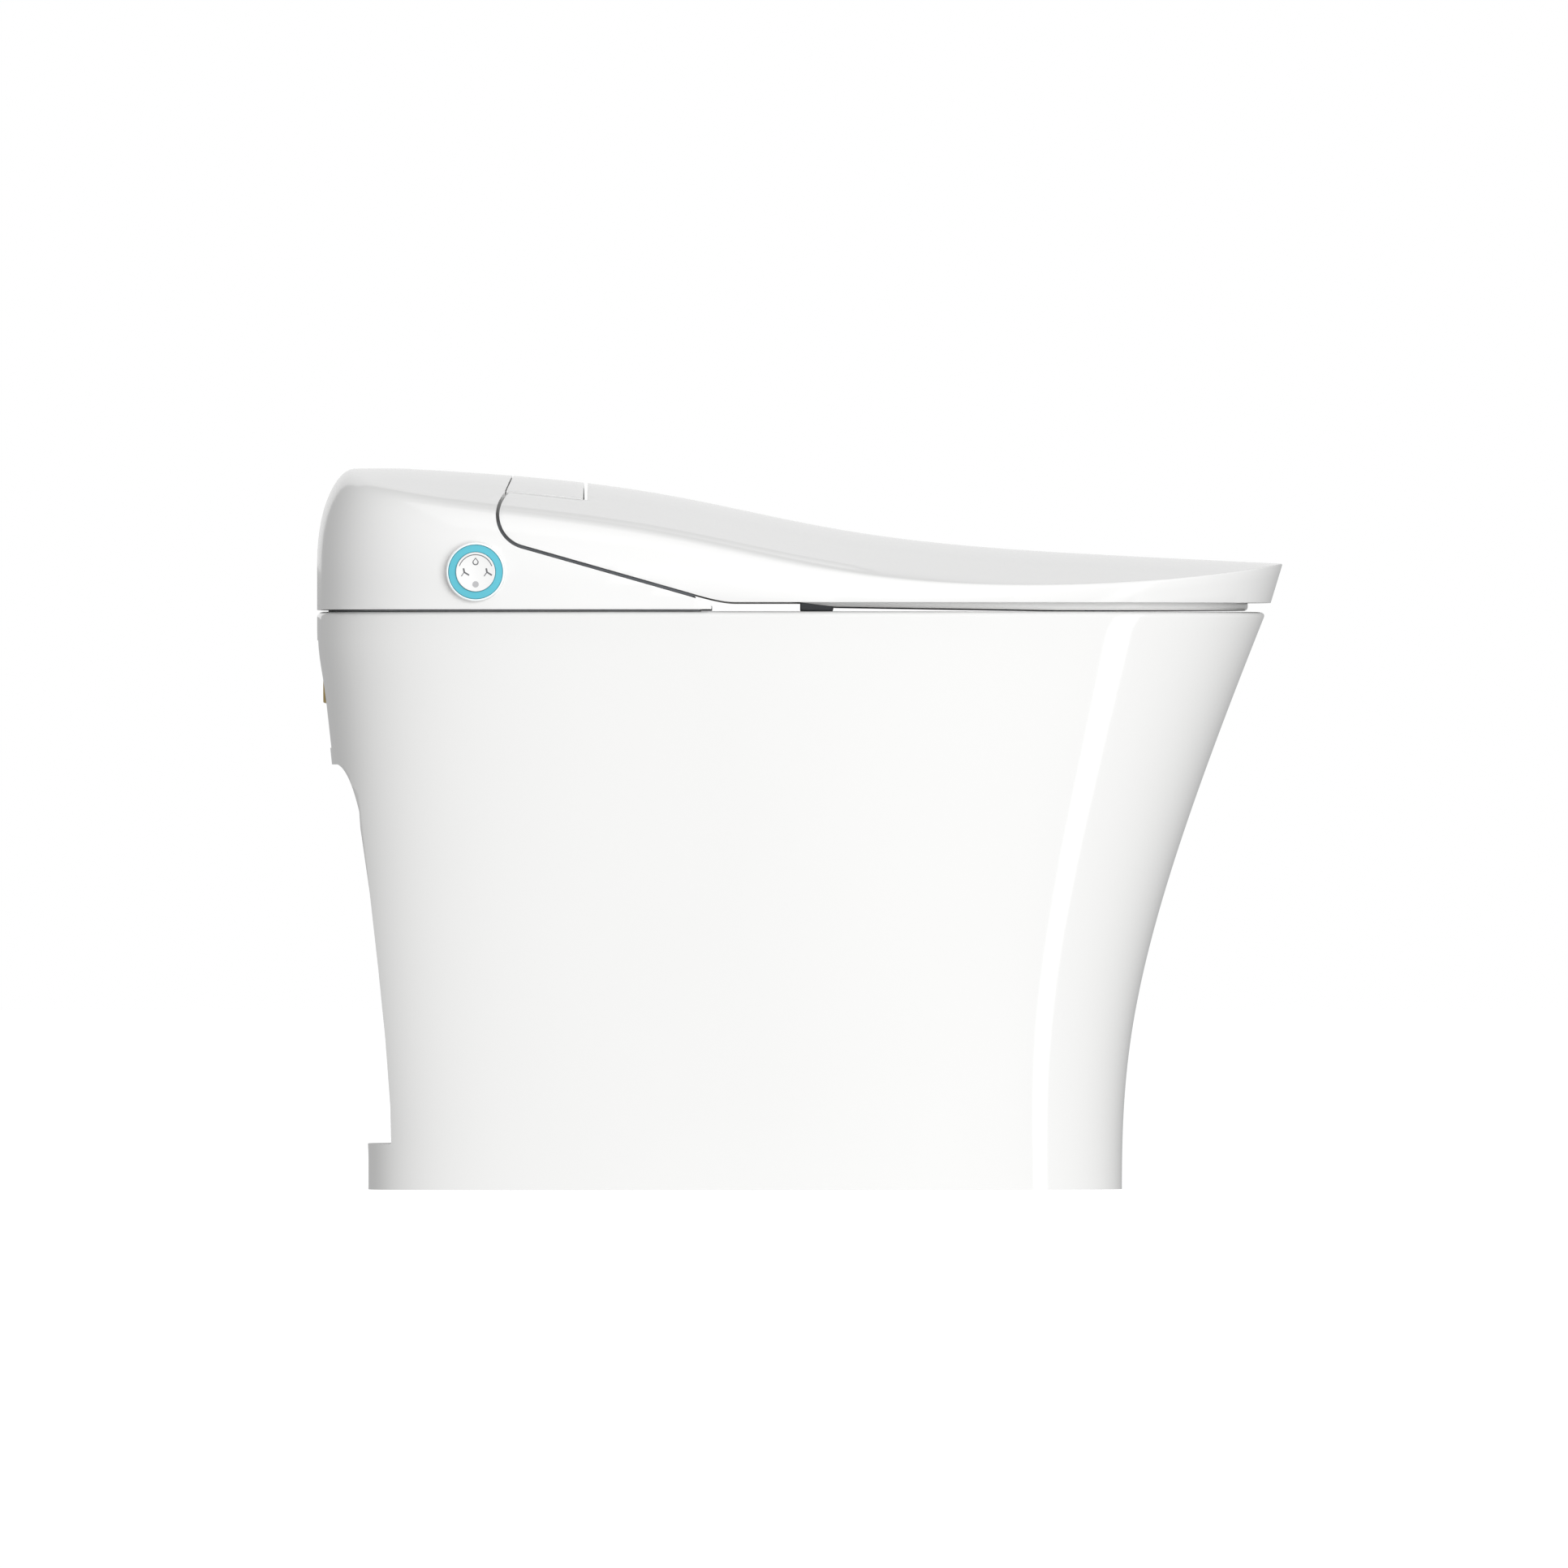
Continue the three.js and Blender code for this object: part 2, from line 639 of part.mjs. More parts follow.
/** Rear cover: the shell round the electric unit, with its wings, recesses and front panel. */
function rearCover() {
  const hingeRear = hinge.y + arm.knuckle + 6;
  const sides = housingSide(0);
  const region = join(
    sidePrism(sides, sideWallStart, far),
    sidePrism(sides, -far, -sideWallStart),
    box(-sideWallStart - 0.01, sideWallStart + 0.01, panelFront, far, sideLow, far),
  );
  const outer = bodyForm(0).intersect(region).intersect(box(-far, far, -far, far, coverBottom, far));
  const coverTop = cut(hingeCoverZone(0.6, rimHeight), bodyForm(hingeCoverWall + 0.5));
  const insideSides = housingSide(coverWall);
  const hollow = cut(
    bodyForm(coverWall).intersect(join(
      sidePrism(insideSides, sideWallStart + coverWall, far),
      sidePrism(insideSides, -far, -sideWallStart - coverWall),
      box(-armSlot.inner + coverWall, armSlot.inner - coverWall, panelFront + coverWall, far, 0, far),
      box(-far, far, hinge.y + earRadius + seamGap + coverWall, far, 0, far),
    )),
    seatBay(coverWall).intersect(box(-far, far, -far, panelFront + 0.01, 0, far)),
    ...[-1, 1].map((side) => box(
      side > 0 ? sideWallStart + coverWall : -(bodyHalfWidth - wingThickness + coverWall),
      side > 0 ? bodyHalfWidth - wingThickness + coverWall : -sideWallStart - coverWall,
      -far, panelFront + coverWall, 0, far,
    )),
  );
  const openTop = box(
    -armSlot.inner + coverWall, armSlot.inner - coverWall,
    panelFront + coverWall, hingeRear, rimHeight, far,
  ).intersect(hingeCoverZone(0.6, 0));
  const slots = boxPair(armSlot.inner, armSlot.outer, -far, hingeRear, rimHeight - 30, far).intersect(
    join(hingeCoverZone(0.6, 0), box(-far, far, -far, hingeRear, 0, hinge.z + arm.knuckle + 1)),
  );
  const nozzlePort = box(-24, 24, panelFront - 5, panelFront + 8, rimHeight, rimHeight + 41);
  const dryerPort = box(44, 78, panelFront - 5, panelFront + 8, rimHeight + 9.5, rimHeight + 29);
  const collar = rod('x', [dial.y, dial.z], -dial.ringFace - 0.6, -dial.ringFace + 22, dial.collar, 32);
  const dialBore = rod('x', [dial.y, dial.z], -far, -dial.ringFace + 30, dial.ringOuter + fitGap, 32);
  const pinBores = rod('x', [hinge.y, hinge.z], -sideWallStart - 1, sideWallStart + 1, pinRadius + fitGap);
  let body = cut(outer, coverTop, seatBay(0), hollow, openTop, slots, nozzlePort, dryerPort);
  const plateTop = coverBottom + fitGap + plateThickness;
  const plateRoom = unitSheet(coverWall + 0.2, coverBottom - 5, plateTop + fitGap);
  body = cut(join(body, collar), dialBore, pinBores, plateRoom);
  return body;
}

/** Hinge cover: the panel flush with the roof over the hinges. */
function hingeCover() {
  const panel = cut(bodyForm(0), bodyForm(hingeCoverWall));
  return panel.intersect(hingeCoverZone(-0.4, rimHeight + 50));
}

/** Flat sheet under the housing in its plan shape, moved in by an inset. */
function unitSheet(inset, low, high) {
  const sheet = bodyForm(inset).intersect(box(-far, far, wingTip + inset, far, low, high));
  return sheet.subtract(seatBay(inset));
}

const boltRadius = 5;
const boltPlaces = [[-145, hinge.y - 4], [145, hinge.y - 4]];

/** Base plate that carries the electric unit and closes the housing from below. */
function basePlate() {
  const opening = roundBox(-26, 26, rear - 118, rear - 48, rimHeight, far, 8);
  return cut(
    unitSheet(coverWall + 0.5, coverBottom + fitGap, coverBottom + fitGap + plateThickness),
    opening,
    ...boltPlaces.map(([x, y]) => rod('z', [x, y], 0, far, boltRadius + fitGap, 12)),
  );
}

/** Thin gasket between the deck of the pan and the base plate. */
function deckGasket() {
  const low = rimHeight + fitGap;
  const high = coverBottom;
  return cut(
    unitSheet(8, low, high),
    bodyForm(20).intersect(box(-far, far, panelFront + 28, far, 0, far)),
    boxPair(0, bodyHalfWidth - wingThickness + 8, panelFront + 26, panelFront + 40, low - 1, high + 1),
  );
}

/** Bolt that holds the base plate to the deck, with a flat head and a nut under the deck. */
function mountingBolt([x, y]) {
  const top = coverBottom + 2 * fitGap + plateThickness;
  return join(
    rod('z', [x, y], rimHeight - 52, top + 1, boltRadius, 12),
    rod('z', [x, y], top, top + 5, 2 * boltRadius, 12),
    rod('z', [x, y], rimHeight - 40, rimHeight - 26.5, 2.2 * boltRadius, 6),
  );
}

// ---------------------------------------------------------------------------------------------
// Lid
// ---------------------------------------------------------------------------------------------

/** Side view of the lid with its round ear, moved in by an inset. */
function lidSide(inset) {
  const radius = earRadius - inset;
  const side = new THREE.Shape();
  side.moveTo(-far, lidEdgeHeight);
  side.lineTo(wingTip - lidNose.start, lidEdgeHeight);
  side.quadraticCurveTo(wingTip - lidNose.bend, lidEdgeHeight, ...seamPoint(radius, lidNose.seamEnd));
  side.lineTo(...seamPoint(radius, 0));
  side.absarc(hinge.y, hinge.z, radius, slope - Math.PI / 2, radians(90), false);
  side.lineTo(hinge.y, far);
  side.lineTo(-far, far);
  return side;
}

/** Lid: the outer shell with a round ear on each side of the hinge cover. */
function lidShell() {
  const side = lidSide(0);
  const region = join(
    sidePrism(side, earStart, far),
    sidePrism(side, -far, -earStart),
    sidePrism(side, -earStart - 0.01, earStart + 0.01).intersect(
      box(-far, far, -far, lidRearEdge, 0, far),
    ),
  );
  const inner = lidSide(lidWall);
  const bossFront = hinge.y - 29;
  const hollow = bodyForm(lidWall).intersect(join(
    box(-far, far, -far, bossFront, 0, far),
    sidePrism(inner, earBossEnd, far),
    sidePrism(inner, -far, -earBossEnd),
  ));
  const pinBore = rod('x', [hinge.y, hinge.z], -pinOuterEnd - 2, pinOuterEnd + 2, pinRadius + fitGap);
  const bushBore = rod('x', [hinge.y, hinge.z], -lidBush.end, -earStart + 1, lidBush.radius + fitGap);
  return cut(bodyForm(0).intersect(region), hollow, pinBore, bushBore);
}

/** Inner panel of the lid. */
function lidLiner() {
  const outer = lidWall + fitGap;
  const reach = box(-far, far, -far, hinge.y - 46, lidEdgeHeight + 2.4, far);
  const aboveSeam = sidePrism(lidSide(1), -far, far);
  return cut(bodyForm(outer), bodyForm(outer + linerWall)).intersect(reach).intersect(aboveSeam);
}

// ---------------------------------------------------------------------------------------------
// Seat ring
// ---------------------------------------------------------------------------------------------

/** Underside of the seat ring: level at the front, rising towards the hinge. */
function seatBottom(y) {
  const gentle = 0.016 * Math.max(0, y - (hinge.y - 379.3));
  const steep = 0.115 * Math.max(0, y - (hinge.y - 218.3));
  return seat.lift + gentle + steep;
}

const seatOuter = outline({
  front: seat.front,
  rear: seat.rear,
  halfWidth: seat.halfWidth,
  widest: seat.widest,
  frontPower: seat.frontPower,
  rearPower: seat.rearPower,
}, 36);
const seatInner = outline({
  front: seat.openingFront,
  rear: seat.openingRear,
  halfWidth: seat.halfWidth - seat.ringWidth,
  widest: seat.widest - 30,
  frontPower: 2.1,
  rearPower: 2.1,
}, 36);

/** Ring swept round the seat; the section gives a share across the ring and a height. */
function seatSweep(section) {
  const count = seatOuter.length;
  const positions = [];
  for (let i = 0; i < count; i += 1) {
    const [ox, oy] = seatOuter[i];
    const [ix, iy] = seatInner[i];
    const width = Math.hypot(ox - ix, oy - iy);
    for (const [fromInner, fromOuter, height] of section) {
      const share = fromInner === null ? 1 - fromOuter / width : fromInner / width;
      const x = ix + (ox - ix) * share;
      const y = iy + (oy - iy) * share;
      positions.push(x, y, seatBottom(y) + height);
    }
  }
  const index = [];
  const across = section.length;
  for (let i = 0; i < count; i += 1) {
    const next = ((i + 1) % count) * across;
    for (let k = 0; k < across; k += 1) {
      const a = i * across + k;
      const b = i * across + ((k + 1) % across);
      const c = next + ((k + 1) % across);
      const d = next + k;
      index.push(a, b, c, a, c, d);
    }
  }
  const geometry = new THREE.BufferGeometry();
  geometry.setAttribute('position', new THREE.Float32BufferAttribute(positions, 3));
  geometry.setIndex(index);
  return solid(geometry);
}

/** Section of the seat's outside: [from inner edge, from outer edge, height]. */
function seatSection(inset) {
  const top = seat.thickness - inset;
  return [
    [inset, null, inset],
    [inset, null, 10],
    [3 + inset, null, top - 4],
    [10, null, top],
    [null, 24, top],
    [null, 10, top - 4],
    [null, 2 + inset, top - 11],
    [null, inset, 5],
    [null, inset, inset],
  ];
}

const seatBaseThickness = 3;
const bumperFromEdge = 18.5;

/** Half width of the seat ring at a place along it. */
function seatHalfWidthAt(y) {
  const reach = y > seat.widest ? seat.rear - seat.widest : seat.widest - seat.front;
  const power = y > seat.widest ? seat.rearPower : seat.frontPower;
  return seat.halfWidth * (1 - (Math.abs(y - seat.widest) / reach) ** power) ** (1 / power);
}

const bumperPlaces = [['rear', hinge.y - 206.5], ['front', front + 132.5]].flatMap(([end, y]) => {
  const x = seatHalfWidthAt(y) - bumperFromEdge;
  return [[`${end}_left`, x, y], [`${end}_right`, -x, y]];
});
const bumperSize = { halfX: 8, halfY: 12, height: 8.2 };

/** Upper shell of the seat ring with its two hinge arms. */
function seatTop() {
  const outside = seatSweep(seatSection(0));
  const lowSection = seatSection(seat.wall).map(([a, b, z], i, all) => {
    const isBottom = i === 0 || i === all.length - 1;
    return [a, b, isBottom ? -5 : z];
  });
  const hollow = seatSweep(lowSection);
  const armRear = hinge.y + 8;
  const armFront = hinge.y - arm.reach;
  let body = join(
    cut(outside, hollow),
    boxPair(arm.inner, arm.outer, armFront, armRear, arm.low, arm.high),
    boxPair(arm.inner, arm.outer, hinge.y - 8, armRear, arm.low, hinge.z),
    rod('x', [hinge.y, hinge.z], arm.inner, arm.outer, arm.knuckle),
    rod('x', [hinge.y, hinge.z], -arm.outer, -arm.inner, arm.knuckle),
  );
  body = cut(body, rod('x', [hinge.y, hinge.z], -far, far, pinRadius + fitGap));
  return body;
}

/** Base plate of the seat ring, set into the upper shell from below. */
function seatBase() {
  const edge = seat.wall + fitGap;
  const plate = seatSweep([
    [edge, null, 0], [edge, null, seatBaseThickness],
    [null, edge, seatBaseThickness], [null, edge, 0],
  ]);
  const armRoom = boxPair(
    arm.inner - fitGap, arm.outer + fitGap, hinge.y - arm.reach - fitGap, far, arm.low - fitGap, far,
  );
  const pockets = bumperPlaces.map(([, x, y]) => box(
    x - bumperSize.halfX - fitGap, x + bumperSize.halfX + fitGap,
    y - bumperSize.halfY - fitGap, y + bumperSize.halfY + fitGap, rimHeight, far,
  ));
  return cut(plate, armRoom, ...pockets);
}

/** Heater foil that lies under the top of the seat ring. */
function seatHeater() {
  const top = seat.thickness - seat.wall - 1;
  const foil = seatSweep([[14, null, top - 1], [14, null, top], [null, 26, top], [null, 26, top - 1]]);
  const armRoom = boxPair(
    arm.inner - fitGap, arm.outer + fitGap, hinge.y - arm.reach - fitGap, far, 0, far,
  );
  return cut(foil, armRoom);
}

/** Rubber bumper of the seat, tapered downwards. */
function seatBumper(x, y) {
  const geometry = new THREE.BoxGeometry(
    2 * bumperSize.halfX, 2 * bumperSize.halfY, bumperSize.height, 1, 1, 1,
  );
  const p = geometry.attributes.position;
  for (let i = 0; i < p.count; i += 1) {
    if (p.getZ(i) < 0) p.setXYZ(i, 0.8 * p.getX(i), 0.9 * p.getY(i), p.getZ(i));
  }
  geometry.translate(x, y, rimHeight + fitGap + bumperSize.height / 2);
  return geometry;
}

// ---------------------------------------------------------------------------------------------
// Hinge parts
// ---------------------------------------------------------------------------------------------

const damper = { radius: 12.2, inner: 60, outer: 77.5 };
const lidBush = { radius: 8.8, end: 140 };

/** Bracket that holds a hinge pin inside the housing: a foot and an upright cheek. */
function hingeBracket(side) {
  const cheek = damper.outer + 0.7;
  const top = hinge.z + 9;
  const body = join(
    box(cheek, cheek + 4, hinge.y - 12, hinge.y + 12, floorHeight, top),
    box(cheek - 5.5, cheek + 0.01, hinge.y - 12, hinge.y + 12, floorHeight, floorHeight + 3),
  );
  const drilled = cut(body, rod('x', [hinge.y, hinge.z], 0, far, pinRadius + fitGap));
  return side > 0 ? drilled : drilled.mirror([1, 0, 0]);
}

const pinSpan = (side, start, end) => (side > 0 ? [start, end] : [-end, -start]);

// ---------------------------------------------------------------------------------------------
// Nozzles, their guide and drive
// ---------------------------------------------------------------------------------------------

const tilt = radians(nozzle.angle);

/** Place in the side view at a distance behind the nozzle tip and above the nozzle's axis. */
function alongNozzle(back, up) {
  return [
    nozzle.tipY + back * Math.cos(tilt) - up * Math.sin(tilt),
    nozzle.tipZ + back * Math.sin(tilt) + up * Math.cos(tilt),
  ];
}

/** A rod or ring that is made along -Y from its tip and then laid on the nozzle's slope. */
function onSlope(body, x) {
  return body.rotate([nozzle.angle, 0, 0]).translate([x, nozzle.tipY, nozzle.tipZ]);
}

/** One nozzle: a stem with a rounded tip and a rack along its top. */
function nozzleStem(x) {
  const stem = rod('y', [0, 0], 3, nozzle.length, nozzle.radius, 16);
  const tip = rod('y', [0, 0], 0, 3.01, nozzle.radius - 1.5, 16);
  const rack = box(-1.6, 1.6, 12, nozzle.length, 0, nozzle.radius + 1.2);
  const jet = rod('z', [0, 9], 0, nozzle.radius + 1, 1.6, 8);
  return onSlope(cut(join(stem, tip, rack), jet), x);
}

/** Guide: a sloping channel under the two nozzles on an upright web. */
function nozzleGuide() {
  const clear = nozzle.radius + 0.6;
  const halfWidth = nozzle.spacing + clear;
  const channel = cut(
    box(-halfWidth - 2.4, halfWidth + 2.4, 2, nozzle.length, -clear - 3, 0),
    box(-halfWidth, halfWidth, -1, nozzle.length + 1, -clear, 20),
  );
  const web = new THREE.Shape();
  web.moveTo(alongNozzle(30, 0)[0], floorHeight);
  web.lineTo(...alongNozzle(30, -clear - 2));
  web.lineTo(...alongNozzle(110, -clear - 2));
  web.lineTo(alongNozzle(110, 0)[0], floorHeight);
  return join(onSlope(channel, 0), sidePrism(web, -2, 2));
}

/** Pinion over a nozzle's rack, with flats that show its turning. */
function pinion(side) {
  const place = pinionCentre();
  const wheel = new THREE.Shape();
  const teeth = 12;
  for (let i = 0; i < 2 * teeth; i += 1) {
    const radius = i % 2 === 0 ? pinionRadius : pinionRadius - 1.6;
    const angle = (Math.PI * i) / teeth;
    const point = [place[0] + radius * Math.cos(angle), place[1] + radius * Math.sin(angle)];
    if (i === 0) wheel.moveTo(...point);
    else wheel.lineTo(...point);
  }
  const x = nozzle.spacing;
  const [from, to] = pinSpan(side, x - 3, x + 3);
  const hub = rod('x', place, ...pinSpan(side, x - 3, x + 7), 3, 12);
  return join(sidePrism(wheel, from, to), hub);
}

/** Axis of the pinions in the side view. */
function pinionCentre() {
  return alongNozzle(pinionFromTip, nozzle.radius + 1.2 + pinionRadius + 0.5);
}

/** Stepping motor beside a pinion. */
function nozzleMotor(side) {
  const start = nozzle.spacing + 7.5;
  return join(
    rod('x', pinionCentre(), ...pinSpan(side, start, start + 14), 10, 20),
    rod('x', pinionCentre(), ...pinSpan(side, start + 13.9, start + 17), 6, 12),
  );
}

// ---------------------------------------------------------------------------------------------
// Unit internals behind the hinge line
// ---------------------------------------------------------------------------------------------

const heater = { x0: -88, x1: -32, y0: rear - 116, y1: rear - 34, height: 42 };
const blower = { x: 92, y: rear - 72, radius: 32, height: 30, wall: 2.5 };

/** Instant water heater: a rounded tank with two ports. */
function instantHeater() {
  const { x0, x1, y0, y1, height } = heater;
  return join(
    roundBox(x0, x1, y0, y1, floorHeight, floorHeight + height, 10),
    rod('z', [x0 + 16, y0 + 16], floorHeight + height - 1, floorHeight + height + 10, 4.5, 12),
    rod('z', [x1 - 16, y0 + 16], floorHeight + height - 1, floorHeight + height + 10, 4.5, 12),
  );
}

/** Dryer housing: a round blower case open at the top, with an outlet to the front. */
function dryerHousing() {
  const { x, y, radius, height, wall } = blower;
  const top = floorHeight + height;
  const mouth = [x - radius, x - radius + 34];
  return cut(
    join(
      rod('z', [x, y], floorHeight, top, radius, 32),
      box(mouth[0], mouth[1], y - radius - 8, y, floorHeight, floorHeight + 20),
    ),
    rod('z', [x, y], floorHeight + wall, top - wall, radius - wall, 32),
    rod('z', [x, y], top - 10, top + 5, radius - 12, 32),
    box(mouth[0] + wall, mouth[1] - wall, y - radius - 20, y, floorHeight + wall, floorHeight + 20 - wall),
  );
}

/** Fan wheel of the dryer. */
function dryerFan() {
  const { x, y, radius, height, wall } = blower;
  const low = floorHeight + wall + 1.5;
  const high = floorHeight + height - wall - 1.5;
  const parts = [
    rod('z', [x, y], low, high, 9, 16),
    rod('z', [x, y], low, low + 2, radius - wall - 4, 32),
  ];
  const blades = 8;
  for (let i = 0; i < blades; i += 1) {
    const blade = box(7, radius - wall - 5, -0.9, 0.9, low + 1, high - 4);
    parts.push(blade.rotate([0, 0, (360 * i) / blades]).translate([x, y, 0]));
  }
  return join(...parts);
}

/** Duct that takes the dryer's air to the front panel. */
function dryerDuct() {
  const { x, y, radius } = blower;
  const rearEnd = y - radius - 8.6;
  const halfWidth = 13;
  const centre = 57;
  const frontEnd = panelFront + coverWall + 0.6;
  const outerBox = box(
    centre - halfWidth, centre + halfWidth, frontEnd, rearEnd, floorHeight + 1, floorHeight + 19,
  );
  const mouthX = x - radius + 17;
  const turned = box(
    mouthX - halfWidth, mouthX + halfWidth, rearEnd - 13, rearEnd, floorHeight + 1, floorHeight + 19,
  );
  const innerBox = box(
    centre - halfWidth + 2, centre + halfWidth - 2, frontEnd - 1, rearEnd - 2,
    floorHeight + 3, floorHeight + 17,
  );
  const innerTurn = box(
    mouthX - halfWidth + 2, mouthX + halfWidth - 2, rearEnd - 11, rearEnd + 1,
    floorHeight + 3, floorHeight + 17,
  );
  return cut(join(outerBox, turned), innerBox, innerTurn);
}

/** A circuit board with its larger components. */
function board(x0, x1, y0, y1, low, components) {
  const parts = [box(x0, x1, y0, y1, low, low + 1.6)];
  for (const [x, y, halfX, halfY, height] of components) {
    parts.push(box(x - halfX, x + halfX, y - halfY, y + halfY, low + 1.5, low + 1.6 + height));
  }
  return join(...parts);
}

/** Solenoid valve: a block with a coil and an inlet from below. */
function solenoidValve() {
  const x = 4;
  const y = rear - 66;
  return join(
    box(x - 12, x + 12, y - 12, y + 12, floorHeight + 4, floorHeight + 24),
    rod('z', [x, y], floorHeight + 23.9, floorHeight + 46, 9, 16),
    rod('z', [x, y], coverBottom - 12, floorHeight + 5, 6, 12),
  );
}

/** Deodoriser: a slim cartridge case beside the nozzles. */
function deodoriser() {
  return roundBox(-70, -38, panelFront + 5, panelFront + 34, floorHeight, floorHeight + 32, 5);
}

// ---------------------------------------------------------------------------------------------
// Dial
// ---------------------------------------------------------------------------------------------

const stemRadius = 4;

/** Round cap of the dial with a thin raised rim. */
function dialCap() {
  const outer = -dial.face;
  const disc = rod('x', [dial.y, dial.z], outer + 0.8, outer + 18, dial.capRadius, 32);
  const rim = ring('x', [dial.y, dial.z], outer, outer + 1, dial.capRadius, dial.capRadius - 1.2, 32);
  const socket = rod('x', [dial.y, dial.z], outer + 8, outer + 20, stemRadius + fitGap, 12);
  return cut(join(disc, rim), socket);
}

/** Stem that slides and carries the cap. */
function dialStem() {
  return rod('x', [dial.y, dial.z], -dial.face + 8.4, -dial.face + 34, stemRadius, 12);
}

/** Encoder block behind the stem. */
function dialEncoder() {
  const start = -dial.face + 30;
  return cut(
    box(start, start + 12, dial.y - 12, dial.y + 12, dial.z - 12, dial.z + 12),
    rod('x', [dial.y, dial.z], start - 1, start + 8, stemRadius + fitGap, 12),
  );
}

// ---------------------------------------------------------------------------------------------
// Water and waste parts in the pan
// ---------------------------------------------------------------------------------------------

const plate = { halfWidth: 72, low: windowLow - 8, high: windowHigh + 2, clearance: 1.4 };
const plateY = panInsideRear(plate.halfWidth, plate.low) - plate.clearance;

/** Plate behind the rear opening that carries the two inlets. */
function servicePlate() {
  return cut(
    box(-plate.halfWidth, plate.halfWidth, plateY - 3, plateY, plate.low, plate.high),
    rod('y', [30, 362], 0, far, 10.4, 20),
    rod('y', [-30, 362], 0, far, 8.4, 20),
  );
}

/** Water inlet: a threaded spigot with a hexagon collar. */
function waterInlet() {
  return cut(
    join(
      rod('y', [30, 362], plateY - 22, rear - 4, 10, 20),
      rod('y', [30, 362], plateY + 0.3, plateY + 6, 14, 6),
      rod('y', [30, 362], plateY - 8, plateY - 3.3, 14, 6),
    ),
    rod('y', [30, 362], plateY - 40, rear + 5, 6.5, 20),
  );
}

/** Gland where the power lead would enter. */
function cordGland() {
  return cut(
    join(
      rod('y', [-30, 362], plateY - 18, rear - 6, 8, 20),
      rod('y', [-30, 362], plateY + 0.3, plateY + 5, 12, 20),
      rod('y', [-30, 362], plateY - 8, plateY - 3.3, 12, 6),
    ),
    rod('y', [-30, 362], plateY - 40, rear + 5, 3.6, 16),
  );
}

const tank = { x: 100, y0: rear - 156, y1: rear - 60, z0: 262, z1: 396, wall: 3 };

/** Small flush tank in the rear of the skirt, open at the top under its own lid. */
function flushTank() {
  const { x, y0, y1, z0, z1, wall } = tank;
  return cut(
    roundBox(-x, x, y0, y1, z0, z1, 14),
    roundBox(-x + wall, x - wall, y0 + wall, y1 - wall, z0 + wall, z1 + 5, 11),
    rod('z', [62, y0 + 48], z0 - 5, z0 + 10, 9, 16),
  );
}

/** Lid of the flush tank with a neck for filling. */
function flushTankLid() {
  const { x, y0, y1, z1 } = tank;
  return cut(
    roundBox(-x, x, y0, y1, z1 + 0.4, z1 + 4, 14),
    rod('z', [4, rear - 66], 0, far, 8, 16),
  );
}

/** Flush pump below the tank. */
function flushPump() {
  const { y0, z0 } = tank;
  const y = y0 + 48;
  return join(
    rod('z', [62, y], z0 - 62, z0 - 8, 24, 20),
    rod('z', [62, y], z0 - 9, z0 + 8, 8.5, 16),
    rod('x', [y, z0 - 50], 20, 45, 7, 12),
  );
}

/** Hose from the pump to the sump of the pan. */
function flushHose() {
  const { y0, z0 } = tank;
  const y = y0 + 48;
  return pipe([[19.5, y, z0 - 50], [-10, y, z0 - 50], [-60, y - 20, z0 - 52], [-70, y - 80, z0 - 50]], 7, 10);
}

/** Bracket that fixes the skirt to the floor from inside. */
function floorBracket(side) {
  const x = pan.footHalfWidth - pan.wall - 26;
  const [from, to] = pinSpan(side, x - 30, x + 12);
  const [upFrom, upTo] = pinSpan(side, x + 8, x + 12);
  return cut(
    join(box(from, to, -20, 20, 0, 4), box(upFrom, upTo, -20, 20, 3.9, 36)),
    rod('z', [side * (x - 12), 0], -5, 10, 4.2, 12),
  );
}

// ---------------------------------------------------------------------------------------------
// Assembly
// ---------------------------------------------------------------------------------------------

object.name = 'electric_bidet_toilet';

/** Put a solid in the object as a named sub-part. */
const put = (name, body, look) => add(name, shape(body), look);

put('ceramic_pan', ceramicPan(), glaze);
put('outlet_seal', ring('z', [outlet.x, outlet.y], 0, 23, 46, pan.trapRadius + 4), rubber);
put('service_plate', servicePlate(), greyPlastic);
put('water_inlet', waterInlet(), brass);
put('cord_gland', cordGland(), darkPlastic);
put('flush_tank', flushTank(), greyPlastic);
put('flush_tank_lid', flushTankLid(), greyPlastic);
put('flush_pump', flushPump(), darkPlastic);
put('flush_hose', flushHose(), rubber);
put('deck_gasket', deckGasket(), rubber);
put('base_plate', basePlate(), greyPlastic);
put('rear_cover', rearCover(), whitePlastic);
put('hinge_cover', hingeCover(), whitePlastic);

for (const [name, side] of [['left', 1], ['right', -1]]) {
  put(`floor_bracket_${name}`, floorBracket(side), steel);
  put(`mounting_bolt_${name}`, mountingBolt(boltPlaces[side > 0 ? 1 : 0]), steel);
  put(`hinge_bracket_${name}`, hingeBracket(side), steel);
  const span = pinSpan(side, pinInnerEnd, pinOuterEnd);
  put(`hinge_pin_${name}`, rod('x', [hinge.y, hinge.z], ...span, pinRadius), steel);
}
const damperBore = pinRadius + fitGap;
const seatDamper = ring('x', [hinge.y, hinge.z], damper.inner, damper.outer, damper.radius, damperBore);
const lidDamper = ring(
  'x', [hinge.y, hinge.z], -lidBush.end + fitGap, -earStart, lidBush.radius, damperBore,
);
put('seat_damper', seatDamper, darkPlastic);
put('lid_damper', lidDamper, darkPlastic);

put('nozzle_guide', nozzleGuide(), greyPlastic);
for (const [name, side] of [['rear', 1], ['front', -1]]) {
  put(`${name}_nozzle`, nozzleStem(side * nozzle.spacing), linerPlastic);
  put(`${name}_pinion`, pinion(side), linerPlastic);
  put(`${name}_motor`, nozzleMotor(side), steel);
}

